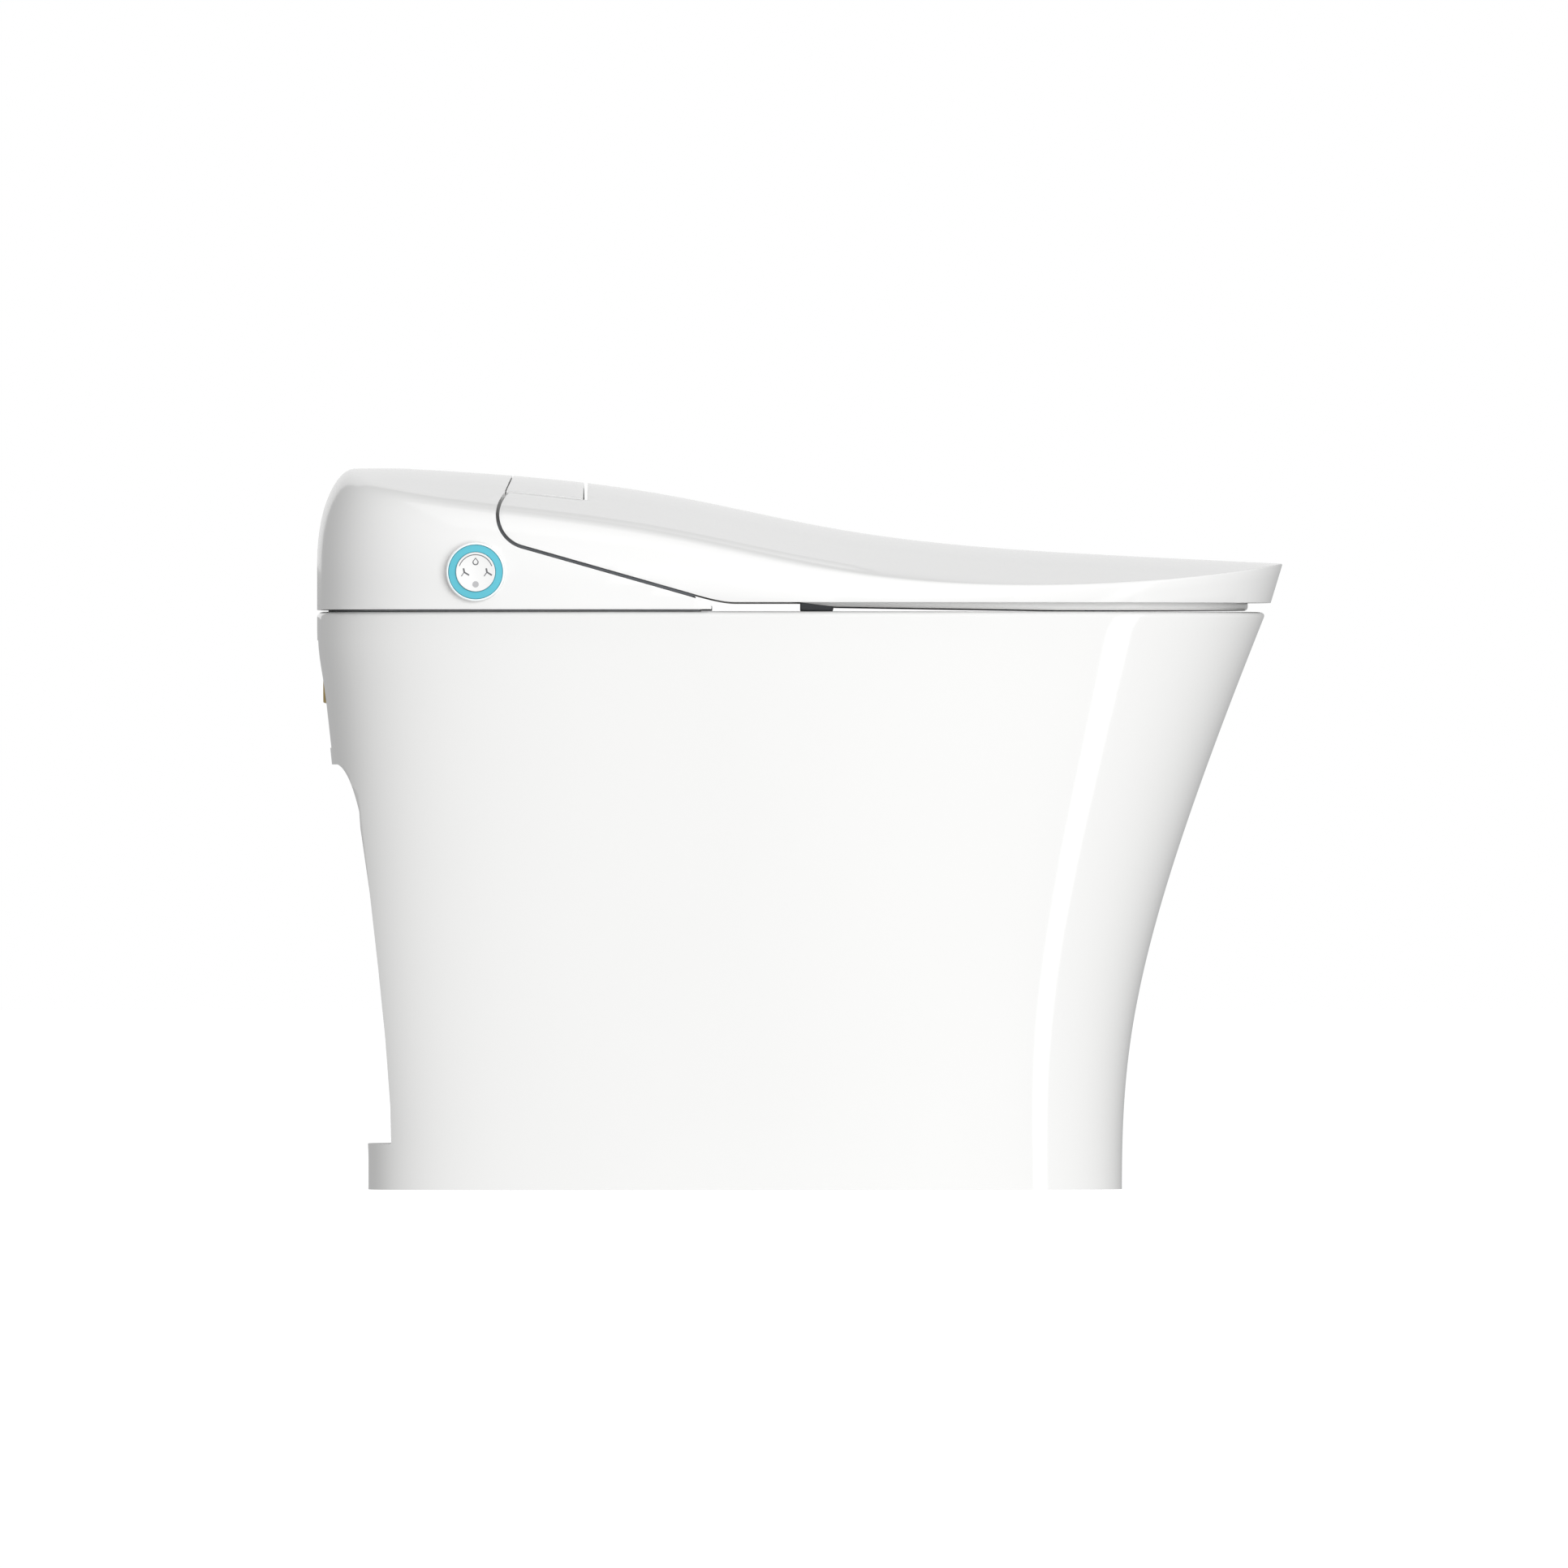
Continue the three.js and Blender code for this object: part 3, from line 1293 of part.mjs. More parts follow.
put('instant_heater', instantHeater(), greyPlastic);
put('dryer_housing', dryerHousing(), darkPlastic);
put('dryer_fan', dryerFan(), linerPlastic);
put('dryer_duct', dryerDuct(), darkPlastic);
put('solenoid_valve', solenoidValve(), brass);
put('deodoriser', deodoriser(), greyPlastic);
const controlParts = [[-118, rear - 92, 9, 9, 3], [-110, rear - 60, 6, 12, 8], [-128, rear - 50, 4, 8, 5]];
const powerParts = [[145, rear - 90, 12, 14, 22], [142, rear - 60, 8, 8, 16]];
put('control_board', board(-140, -96, rear - 114, rear - 36, floorHeight + 2, controlParts), boardGreen);
put('power_board', board(126, 160, rear - 114, rear - 46, floorHeight + 2, powerParts), boardGreen);

const ledStart = -dial.ringFace;
const led = ring('x', [dial.y, dial.z], ledStart, ledStart + 14, dial.ringOuter, dial.ringInner, 32);
put('light_ring', led, lightRing);
put('dial_cap', dialCap(), whitePlastic);
put('dial_stem', dialStem(), steel);
put('dial_encoder', dialEncoder(), darkPlastic);

put('seat_top', seatTop(), whitePlastic);
put('seat_base', seatBase(), whitePlastic);
put('seat_heater', seatHeater(), copperFoil);
for (const [name, x, y] of bumperPlaces) add(`seat_bumper_${name}`, seatBumper(x, y), rubber);

put('lid_shell', lidShell(), whitePlastic);
put('lid_liner', lidLiner(), linerPlastic);
const lidBumperTop = roofHeight(70, front + 50) - lidWall - linerWall - fitGap - 1.2;
for (const [name, x] of [['left', 70], ['right', -70]]) {
  const low = seatBottom(front + 50) + seat.thickness + fitGap;
  put(`lid_bumper_${name}`, rod('z', [x, front + 50], low, lidBumperTop, 6, 16), rubber);
}

export default object;
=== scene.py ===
"""Looks of a one-piece electric bidet toilet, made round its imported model.

Shapes are worked out in millimetres, with +Z up and the front of the toilet towards -Y, and
become metres when a piece is finished. Each sub-assembly is a class that builds and dresses
its own pieces.
"""
import logging
import math
from collections.abc import Sequence
from dataclasses import dataclass, field
from enum import Enum

import bmesh
import bpy
from mathutils import Matrix, Vector


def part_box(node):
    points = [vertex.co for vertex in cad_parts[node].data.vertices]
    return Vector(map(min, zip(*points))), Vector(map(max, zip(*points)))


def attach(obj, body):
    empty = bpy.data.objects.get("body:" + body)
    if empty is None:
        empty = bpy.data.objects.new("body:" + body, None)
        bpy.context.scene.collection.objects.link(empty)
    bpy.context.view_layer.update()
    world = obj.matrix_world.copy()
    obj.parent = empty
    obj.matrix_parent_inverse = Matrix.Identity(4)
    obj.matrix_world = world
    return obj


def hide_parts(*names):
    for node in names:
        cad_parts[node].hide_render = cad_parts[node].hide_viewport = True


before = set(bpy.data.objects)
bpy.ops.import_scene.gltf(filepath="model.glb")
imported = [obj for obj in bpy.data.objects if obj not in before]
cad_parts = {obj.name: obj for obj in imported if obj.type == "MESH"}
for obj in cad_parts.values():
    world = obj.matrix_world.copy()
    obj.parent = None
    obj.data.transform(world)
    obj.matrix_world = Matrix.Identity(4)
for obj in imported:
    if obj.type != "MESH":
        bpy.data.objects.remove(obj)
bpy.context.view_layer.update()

MM = 0.001             # metres in a millimetre
FAR = 1400.0           # reaches past the whole toilet
FIT_GAP = 0.3          # clearance between pieces that fit together
OVERLAP = 0.01         # overlap of shapes that are joined
MERGE = 1e-4           # points nearer than this are one, while a shape is worked on
FINAL_MERGE = 0.02     # the same, on a finished piece
SHORTEST_EDGE = 0.01   # shortest edge of a finished piece

Flat = tuple[float, float]
Place = tuple[float, float, float]
Color = tuple[float, float, float]
SectionPoint = tuple[float | None, float | None, float]

log = logging.getLogger("toilet")


# ---------------------------------------------------------------------------------------------
# Shader maths
# ---------------------------------------------------------------------------------------------


class Value:
    """A shader number that Python expressions can work with."""

    def __init__(self, nodes: "NodeTree", socket: bpy.types.NodeSocket) -> None:
        """Wrap a socket.

        Args:
            nodes: The tree that the socket belongs to.
            socket: An output that gives a number.
        """
        self.nodes = nodes
        self.socket = socket

    def _math(self, operation: str, *inputs: "Value | float") -> "Value":
        """Add one Math node and return its result."""
        node = self.nodes.add("ShaderNodeMath", {"operation": operation}, *inputs)
        return Value(self.nodes, node.outputs[0])

    def __add__(self, other: "Value | float") -> "Value":
        """Sum of two values."""
        return self._math("ADD", self, other)

    __radd__ = __add__

    def __mul__(self, other: "Value | float") -> "Value":
        """Product of two values."""
        return self._math("MULTIPLY", self, other)

    __rmul__ = __mul__

    def __sub__(self, other: "Value | float") -> "Value":
        """This value less another."""
        return self._math("SUBTRACT", self, other)

    def __rsub__(self, other: float) -> "Value":
        """A number less this value."""
        return self._math("SUBTRACT", other, self)

    def __gt__(self, other: "Value | float") -> "Value":
        """One where this value is the greater, else nothing."""
        return self._math("GREATER_THAN", self, other)

    def wave(self) -> "Value":
        """Sine of this value."""
        return self._math("SINE", self)

    def clamped(self) -> "Value":
        """This value held between nothing and one."""
        return self._math("MINIMUM", self._math("MAXIMUM", self, 0.0), 1.0)


class NodeTree:
    """The nodes of one material, with its Principled shader."""

    def __init__(self, name: str) -> None:
        """Start an empty material.

        Args:
            name: The material's name.
        """
        self.material = bpy.data.materials.new(name)
        self.material.use_nodes = True
        self.tree = self.material.node_tree
        self.shader = self.tree.nodes["Principled BSDF"]

    def add(
        self, kind: str, settings: dict | None = None, *inputs: object, **named: object
    ) -> bpy.types.Node:
        """Add a node, set it up and feed its sockets.

        Args:
            kind: The node's type.
            settings: Properties to set before the sockets are fed.
            *inputs: Values or links for the first sockets, in order.
            **named: Values or links by socket name, with _ for a space.

        Returns:
            The new node.
        """
        node = self.tree.nodes.new(kind)
        for key, value in (settings or {}).items():
            setattr(node, key, value)
        for index, value in enumerate(inputs):
            self.feed(node.inputs[index], value)
        for key, value in named.items():
            self.feed(node.inputs[key.replace("_", " ")], value)
        return node

    def feed(self, socket: bpy.types.NodeSocket, value: object) -> None:
        """Link a socket to an output, or set its own value."""
        if isinstance(value, Value):
            self.tree.links.new(value.socket, socket)
        elif isinstance(value, bpy.types.NodeSocket):
            self.tree.links.new(value, socket)
        else:
            socket.default_value = value

    def place(self, stretch: Place = (1, 1, 1)) -> bpy.types.NodeSocket:
        """Object coordinates in metres, stretched."""
        coords = self.add("ShaderNodeTexCoord")
        mapping = self.add("ShaderNodeMapping", None, coords.outputs["Object"])
        mapping.inputs["Scale"].default_value = stretch
        return mapping.outputs["Vector"]

    def axis(self, name: str) -> Value:
        """One object coordinate, in millimetres."""
        split = self.add("ShaderNodeSeparateXYZ", None, self.place())
        return Value(self, split.outputs[name]) * (1 / MM)

    def noise(self, size: float, detail: float = 3.0, stretch: Place = (1, 1, 1)) -> Value:
        """Soft noise from nothing to one.

        Args:
            size: Width of one blotch in millimetres.
            detail: How many finer layers lie on it.
            stretch: Share of the scale along each axis; a small one draws the noise out.

        Returns:
            The noise.
        """
        node = self.add(
            "ShaderNodeTexNoise", None, Vector=self.place(stretch),
            Scale=1 / (size * MM), Detail=detail, Roughness=0.55,
        )
        return Value(self, node.outputs[0])

    def cells(self, size: float) -> Value:
        """Distance to the nearest cell's middle, in cell widths."""
        node = self.add("ShaderNodeTexVoronoi", None, Vector=self.place(), Scale=1 / (size * MM))
        return Value(self, node.outputs["Distance"])

    def mix(self, share: Value, low: object, high: object) -> bpy.types.NodeSocket:
        """Colour between two colours."""
        node = self.add("ShaderNodeMix", {"data_type": "RGBA"})
        self.feed(node.inputs[0], share)
        for socket, value in ((node.inputs[6], low), (node.inputs[7], high)):
            self.feed(socket, (*value, 1.0) if isinstance(value, tuple) else value)
        return node.outputs[2]

    def relief(self, height: Value, depth: float) -> None:
        """Bump the surface by a height, with its depth in millimetres."""
        bump = self.add("ShaderNodeBump", None, Strength=1.0, Distance=depth * MM, Height=height)
        self.feed(self.shader.inputs["Normal"], bump.outputs[0])


# ---------------------------------------------------------------------------------------------
# Finishes
# ---------------------------------------------------------------------------------------------


def shade(color: Color, share: float) -> Color:
    """A colour made lighter or darker by a share."""
    return tuple(min(part * share, 1.0) for part in color)


@dataclass(frozen=True)
class Finish:
    """A plain finish: a colour with soft blotches, uneven gloss and a fine grain."""

    name: str
    color: Color
    roughness: float
    metallic: float = 0.0
    coat: float = 0.0
    variation: float = 0.02
    blotch: float = 60.0
    uneven: float = 0.05
    grain: float = 1.0
    depth: float = 0.01

    def material(self) -> bpy.types.Material:
        """The finish as a material, made once."""
        known = bpy.data.materials.get(self.name)
        if known:
            return known
        nodes = NodeTree(self.name)
        nodes.feed(nodes.shader.inputs["Metallic"], self.metallic)
        nodes.feed(nodes.shader.inputs["Coat Weight"], self.coat)
        nodes.feed(nodes.shader.inputs["Coat Roughness"], 0.03)
        self.dress(nodes)
        return nodes.material

    def dress(self, nodes: NodeTree) -> None:
        """Feed the shader's colour, roughness and normal."""
        self.tint(nodes, nodes.noise(self.blotch), self.color)
        self.polish(nodes, nodes.noise(self.blotch / 6))
        nodes.relief(nodes.noise(self.grain, 2.0), self.depth)

    def tint(self, nodes: NodeTree, tone: Value, lightest: Color) -> None:
        """Feed the colour, from its darkest up to a lightest one by a tone."""
        color = nodes.mix(tone, shade(self.color, 1 - self.variation), lightest)
        nodes.feed(nodes.shader.inputs["Base Color"], color)

    def polish(self, nodes: NodeTree, wear: Value) -> None:
        """Feed the roughness, made uneven by wear."""
        gloss = wear * self.uneven + (self.roughness - self.uneven / 2)
        nodes.feed(nodes.shader.inputs["Roughness"], gloss.clamped())


@dataclass(frozen=True)
class Brushed(Finish):
    """A metal with fine lines drawn along one axis and darker handling marks."""

    along: Place = (0.02, 1, 1)

    def dress(self, nodes: NodeTree) -> None:
        """Feed the shader's colour, roughness and normal."""
        lines = nodes.noise(self.grain, 4.0, self.along)
        marks = nodes.noise(self.blotch)
        self.tint(nodes, (lines * 0.5 + marks * 0.5).clamped(), self.color)
        self.polish(nodes, lines)
        nodes.relief(lines, self.depth)


@dataclass(frozen=True)
class Moulded(Finish):
    """A matt plastic or rubber with a spark-eroded texture of small cells."""

    def dress(self, nodes: NodeTree) -> None:
        """Feed the shader's colour, roughness and normal."""
        cells = nodes.cells(self.grain)
        dust = nodes.noise(self.blotch, 5.0)
        self.tint(nodes, dust, shade(self.color, 1 + self.variation))
        self.polish(nodes, dust)
        nodes.relief(cells, self.depth)


@dataclass(frozen=True)
class Board(Finish):
    """A circuit board: copper tracks that show through green lacquer, and solder dots."""

    track: Color = (0.16, 0.42, 0.24)
    solder: Color = (0.72, 0.73, 0.74)

    def dress(self, nodes: NodeTree) -> None:
        """Feed the shader's colour, roughness and normal."""
        lines = ((nodes.axis("X") * 2.1).wave() + (nodes.axis("Y") * 0.7).wave()) > 0.6
        tracks = lines * (nodes.noise(9.0, 0.0) > 0.48)
        dots = 1 - (nodes.cells(2.6) > 0.17)
        color = nodes.mix(tracks, self.color, self.track)
        nodes.feed(nodes.shader.inputs["Base Color"], nodes.mix(dots, color, self.solder))
        nodes.feed(nodes.shader.inputs["Roughness"], self.roughness - dots * 0.2)
        nodes.relief(tracks + dots, self.depth)


@dataclass(frozen=True)
class HeaterFoil(Finish):
    """A foil with a heating track that winds across it."""

    track: Color = (0.55, 0.3, 0.16)

    def dress(self, nodes: NodeTree) -> None:
        """Feed the shader's colour, roughness and normal."""
        sway = (nodes.axis("X") * 0.25).wave() * 4.0
        track = ((nodes.axis("Y") + sway) * 0.7).wave() > 0.7
        nodes.feed(nodes.shader.inputs["Base Color"], nodes.mix(track, self.color, self.track))
        wrinkles = nodes.noise(self.grain)
        nodes.feed(nodes.shader.inputs["Roughness"], wrinkles * self.uneven + self.roughness)
        nodes.relief(wrinkles, self.depth)


@dataclass(frozen=True)
class Glow(Finish):
    """A frosted part that shines from within, used for the light guide and for the painted halo on the
    lip round it.
    """

    strength: float = 1.0
    edge: Color = (0.5, 0.9, 1.0)

    def dress(self, nodes: NodeTree) -> None:
        """Feed the shader's colour, roughness, normal and light."""
        frost = nodes.noise(self.grain)
        nodes.feed(nodes.shader.inputs["Base Color"], nodes.mix(frost, self.color, self.edge))
        nodes.feed(nodes.shader.inputs["Roughness"], frost * self.uneven + self.roughness)
        patches = nodes.noise(self.blotch)
        nodes.feed(nodes.shader.inputs["Emission Color"], nodes.mix(patches, self.color, self.edge))
        nodes.feed(nodes.shader.inputs["Emission Strength"], self.strength)
        nodes.relief(frost, self.depth)


WHITE = (0.86, 0.86, 0.855)
GLAZE = Finish("vitreous_glaze", (0.87, 0.87, 0.862), 0.07, coat=0.6, variation=0.012, blotch=90,
               uneven=0.03, grain=14, depth=0.03)
GLOSS = Finish("gloss_white_plastic", WHITE, 0.16, coat=0.25, variation=0.015, blotch=70,
               uneven=0.05, grain=2.5, depth=0.006)
SATIN = Finish("satin_white_plastic", (0.82, 0.82, 0.81), 0.36, variation=0.025, blotch=40,
               uneven=0.1, grain=0.8, depth=0.02)
PRINT = Finish("printed_grey", (0.16, 0.16, 0.17), 0.5, variation=0.1, blotch=2, grain=0.3)
PALE_PRINT = Finish("printed_pale_grey", (0.5, 0.5, 0.51), 0.5, variation=0.1, blotch=2, grain=0.3)
GREY = Moulded("grey_plastic", (0.28, 0.29, 0.3), 0.5, variation=0.12, blotch=14, grain=0.7,
               depth=0.03, uneven=0.12)
DARK = Moulded("dark_plastic", (0.035, 0.036, 0.04), 0.5, variation=0.25, blotch=10, grain=0.7,
               depth=0.03, uneven=0.15)
# Grey of the deck gasket: a real gasket, whose grey also paints the shade of the thin gap line under
# the unit's cover.
GASKET_AND_GAP_SHADE = Moulded("grey_gasket_and_gap_shade", (0.2, 0.205, 0.21), 0.7, variation=0.2, blotch=8, grain=0.6,
               depth=0.03, uneven=0.15)
# Dark rubber of the bumpers, the outlet seal and the hose; also the colour of the strips that paint the
# shadow in the sloping seams.
RUBBER_AND_SEAM_SHADE = Moulded("dark_rubber", (0.045, 0.047, 0.05), 0.8, variation=0.3, blotch=5, grain=0.5,
                 depth=0.04, uneven=0.15)
STEEL = Brushed("brushed_steel", (0.6, 0.61, 0.62), 0.32, 1.0, variation=0.2, blotch=12,
                grain=0.5, depth=0.015, uneven=0.2)
BRASS = Brushed("machined_brass", (0.65, 0.48, 0.2), 0.3, 1.0, variation=0.25, blotch=10,
                grain=0.4, depth=0.01, uneven=0.2, along=(1, 0.05, 1))
BOARD = Board("circuit_board", (0.02, 0.14, 0.07), 0.4, depth=0.05)
FOIL = HeaterFoil("heater_foil", (0.72, 0.5, 0.36), 0.3, 1.0, uneven=0.2, grain=6, depth=0.1)
LIGHT = Glow("pale_cyan_light", (0.06, 0.26, 0.315), 0.6, blotch=9, grain=1.2, uneven=0.1,
             strength=1.0, edge=(0.07, 0.28, 0.34))
# Glow of the lip round the dial's ring: a painted halo of light, not a lamp.
HALO = Glow("pale_white_light", (0.62, 0.72, 0.74), 0.5, blotch=9, grain=1.2, uneven=0.1,
            strength=0.4, edge=(0.7, 0.78, 0.8))


# ---------------------------------------------------------------------------------------------
# Workshop
# ---------------------------------------------------------------------------------------------


class Axis(Enum):
    """Direction that a rod or prism lies along, with the turn from +Z to it."""

    X = "x"
    Y = "y"
    Z = "z"

    @property
    def turn(self) -> Matrix:
        """Turn that lays +Z along this axis."""
        return {
            Axis.X: Matrix(((0, 0, 1, 0), (1, 0, 0, 0), (0, 1, 0, 0), (0, 0, 0, 1))),
            Axis.Y: Matrix(((0, 1, 0, 0), (0, 0, 1, 0), (1, 0, 0, 0), (0, 0, 0, 1))),
            Axis.Z: Matrix.Identity(4),
        }[self]


class Solid:
    """A closed shape in millimetres that can be joined to others, cut and trimmed."""

    def __init__(self, bm: bmesh.types.BMesh) -> None:
        """Take over a closed bmesh.

        Args:
            bm: The mesh, which is merged, pointed outwards and freed.
        """
        bmesh.ops.remove_doubles(bm, verts=bm.verts, dist=MERGE)
        bmesh.ops.recalc_face_normals(bm, faces=bm.faces)
        mesh = bpy.data.meshes.new("work")
        bm.to_mesh(mesh)
        bm.free()
        self.holder = bpy.data.objects.new("work", mesh)
        bpy.context.scene.collection.objects.link(self.holder)

    def _boolean(self, other: "Solid", operation: str) -> "Solid":
        """Combine with another solid, which is used up.

        Args:
            other: The other solid.
            operation: What the Boolean modifier does.

        Returns:
            This solid.
        """
        modifier = self.holder.modifiers.new("combine", "BOOLEAN")
        modifier.object = other.holder
        modifier.operation = operation
        modifier.solver = "MANIFOLD"
        graph = bpy.context.evaluated_depsgraph_get()
        mesh = bpy.data.meshes.new_from_object(self.holder.evaluated_get(graph))
        self.holder.modifiers.clear()
        spent = self.holder.data
        self.holder.data = mesh
        bpy.data.meshes.remove(spent)
        other.discard()
        return self

    def join(self, *others: "Solid") -> "Solid":
        """Add other solids."""
        for other in others:
            self._boolean(other, "UNION")
        return self

    def cut(self, *others: "Solid") -> "Solid":
        """Take other solids away."""
        for other in others:
            self._boolean(other, "DIFFERENCE")
        return self

    def meet(self, *others: "Solid") -> "Solid":
        """Keep only what lies in the other solids too."""
        for other in others:
            self._boolean(other, "INTERSECT")
        return self

    def mirrored(self) -> "Solid":
        """A copy on the other side of the middle plane."""
        bm = bmesh.new()
        bm.from_mesh(self.holder.data)
        bmesh.ops.scale(bm, vec=(-1, 1, 1), verts=bm.verts)
        return Solid(bm)

    def on_both_sides(self) -> "Solid":
        """This solid with its mirror image."""
        return self.join(self.mirrored())

    def moved(self, matrix: Matrix) -> "Solid":
        """This solid after a transform."""
        self.holder.data.transform(matrix)
        return self

    def discard(self) -> None:
        """Remove the solid from the scene."""
        mesh = self.holder.data
        bpy.data.objects.remove(self.holder)
        bpy.data.meshes.remove(mesh)


def loft(rings: Sequence[Sequence[Vector]], closed: bool = False) -> bmesh.types.BMesh:
    """Skin a stack of rings.

    Args:
        rings: Rings with equally many points.
        closed: True joins the last ring to the first; otherwise both ends are filled.

    Returns:
        The skin as a closed bmesh.
    """
    stack = [*rings, rings[0]] if closed else rings
    columns = len(stack[0])
    bm = bmesh.new()
    bmesh.ops.create_grid(bm, x_segments=columns, y_segments=len(stack) - 1, size=1)
    bm.verts.ensure_lookup_table()
    for vert in bm.verts:
        row, column = divmod(vert.index, columns + 1)
        vert.co = stack[row][column % columns]
    bmesh.ops.remove_doubles(bm, verts=bm.verts, dist=MERGE)
    if not closed:
        bmesh.ops.holes_fill(bm, edges=[edge for edge in bm.edges if edge.is_boundary], sides=0)
    return bm


def box_mesh(x0: float, x1: float, y0: float, y1: float, z0: float, z1: float) -> bmesh.types.BMesh:
    """A box with sharp edges between two corners.

    Args:
        x0: Lowest X.
        x1: Highest X.
        y0: Lowest Y.
        y1: Highest Y.
        z0: Lowest Z.
        z1: Highest Z.

    Returns:
        The box as a bmesh.
    """
    bm = bmesh.new()
    size = Matrix.Diagonal((x1 - x0, y1 - y0, z1 - z0, 1))
    middle = Matrix.Translation(((x0 + x1) / 2, (y0 + y1) / 2, (z0 + z1) / 2))
    bmesh.ops.create_cube(bm, size=1, matrix=middle @ size)
    return bm


def block(x0: float, x1: float, y0: float, y1: float, z0: float, z1: float, soft: float = 0) -> Solid:
    """A box between two corners, with all its edges rounded by a radius.

    Args:
        x0: Lowest X.
        x1: Highest X.
        y0: Lowest Y.
        y1: Highest Y.
        z0: Lowest Z.
        z1: Highest Z.
        soft: Radius of its edges; nothing leaves them sharp.

    Returns:
        The box.
    """
    bm = box_mesh(x0, x1, y0, y1, z0, z1)
    if soft:
        bmesh.ops.bevel(
            bm, geom=bm.edges[:], offset=soft, affect="EDGES", segments=4, profile=0.5, material=-1,
        )
    return Solid(bm)


def port(
    axis: Axis, x0: float, x1: float, y0: float, y1: float, z0: float, z1: float, radius: float
) -> Solid:
    """A box with only its edges along one axis rounded, to cut an opening with.

    Args:
        axis: The axis that the rounded edges lie along.
        x0: Lowest X.
        x1: Highest X.
        y0: Lowest Y.
        y1: Highest Y.
        z0: Lowest Z.
        z1: Highest Z.
        radius: Their radius.

    Returns:
        The box.
    """
    bm = box_mesh(x0, x1, y0, y1, z0, z1)
    along = list(Axis).index(axis)
    corners = [
        edge for edge in bm.edges if abs(edge.verts[0].co[along] - edge.verts[1].co[along]) > OVERLAP
    ]
    bmesh.ops.bevel(
        bm, geom=corners, offset=radius, affect="EDGES", segments=8, profile=0.5, material=-1,
    )
    return Solid(bm)


def turned(
    profile: Sequence[Flat], axis: Axis, centre: Place,
    steps: int = 64,
) -> Solid:
    """Turn a profile round an axis.

    Args:
        profile: Points as (radius, distance along the axis); it starts and ends on the axis or
            closes on itself.
        axis: The axis it turns round.
        centre: Where the axis and distance nothing lie.
        steps: Steps in the full turn.

    Returns:
        The turned solid.
    """
    bm = bmesh.new()
    verts = [bm.verts.new((radius, 0, along)) for radius, along in profile]
    pairs = list(zip(verts, verts[1:]))
    if profile[0][0] > 0:
        pairs.append((verts[-1], verts[0]))
    edges = [bm.edges.new(pair) for pair in pairs]
    bmesh.ops.spin(
        bm, geom=[*verts, *edges], axis=(0, 0, 1), cent=(0, 0, 0), angle=2 * math.pi,
        steps=steps, use_merge=True,
    )
    bmesh.ops.transform(bm, matrix=Matrix.Translation(centre) @ axis.turn, verts=bm.verts)
    return Solid(bm)


def rod(
    axis: Axis, centre: Flat, start: float, end: float, radius: float,
    soft: float = 0.0, steps: int = 48,
) -> Solid:
    """A rod along an axis, with round ends of a given radius.

    Args:
        axis: Direction of the rod.
        centre: Its other two coordinates, in order.
        start: Where it starts along the axis.
        end: Where it ends.
        radius: Its radius.
        soft: Radius of the rounding at both ends.
        steps: Sides of the rod.

    Returns:
        The rod.
    """
    places = {Axis.X: (0, *centre), Axis.Y: (centre[0], 0, centre[1]), Axis.Z: (*centre, 0)}
    profile = [(0.0, start), *rounded_end(radius, start, soft, 1), *rounded_end(radius, end, soft, -1),
               (0.0, end)]
    return turned(profile, axis, places[axis], steps)


def rounded_end(radius: float, place: float, soft: float, inwards: int) -> list[Flat]:
    """Profile points of one rounded end of a rod, from its start to its end along the axis.

    Args:
        radius: Radius of the rod.
        place: Where the end is along the axis.
        soft: Radius of the rounding.
        inwards: 1 at the start of the rod and -1 at its end.

    Returns:
        Points as (radius, distance along the axis).
    """
    if not soft:
        return [(radius, place)]
    angles = [math.pi / 2 * step / 4 for step in range(5)]
    points = [
        (radius - soft + soft * math.sin(a), place + inwards * soft * (1 - math.cos(a)))
        for a in angles
    ]
    return points if inwards > 0 else points[::-1]


def prism(outline: Sequence[Flat], axis: Axis, start: float, end: float) -> Solid:
    """Stretch a flat outline along an axis.

    Args:
        outline: Points in the two other coordinates, in order (Y and Z for X, X and Y for Z).
        axis: Direction of the stretch.
        start: Where it starts.
        end: Where it ends.

    Returns:
        The prism.
    """
    bm = bmesh.new()
    verts = [bm.verts.new((a, b, start)) for a, b in outline]
    rim = [bm.edges.new(pair) for pair in zip(verts, [*verts[1:], verts[0]])]
    face = bmesh.ops.contextual_create(bm, geom=rim)["faces"]
    grown = bmesh.ops.extrude_face_region(bm, geom=face)["geom"]
    tips = [item for item in grown if isinstance(item, bmesh.types.BMVert)]
    bmesh.ops.translate(bm, verts=tips, vec=(0, 0, end - start))
    bmesh.ops.transform(bm, matrix=axis.turn, verts=bm.verts)
    return Solid(bm)


def arc(
    centre: Flat, radius: float, start: float, end: float, steps: int = 24
) -> list[Flat]:
    """Points of an arc between two angles, in degrees.

    Args:
        centre: Its centre.
        radius: Its radius.
        start: Its first angle.
        end: Its last angle.
        steps: Steps between them.

    Returns:
        The points, with both ends.
    """
    angles = [math.radians(start + (end - start) * step / steps) for step in range(steps + 1)]
    return [(centre[0] + radius * math.cos(a), centre[1] + radius * math.sin(a)) for a in angles]


def bent(
    start: Flat, control: Flat, end: Flat, steps: int = 8
) -> list[Flat]:
    """Points of a quadratic curve, without its start.

    Args:
        start: Where it starts.
        control: The point that it bends towards.
        end: Where it ends.
        steps: Steps along it.

    Returns:
        The points, with the end.
    """
    points = []
    for step in range(1, steps + 1):
        t = step / steps
        points.append(tuple(
            (1 - t) ** 2 * a + 2 * t * (1 - t) * b + t * t * c for a, b, c in zip(start, control, end)
        ))
    return points


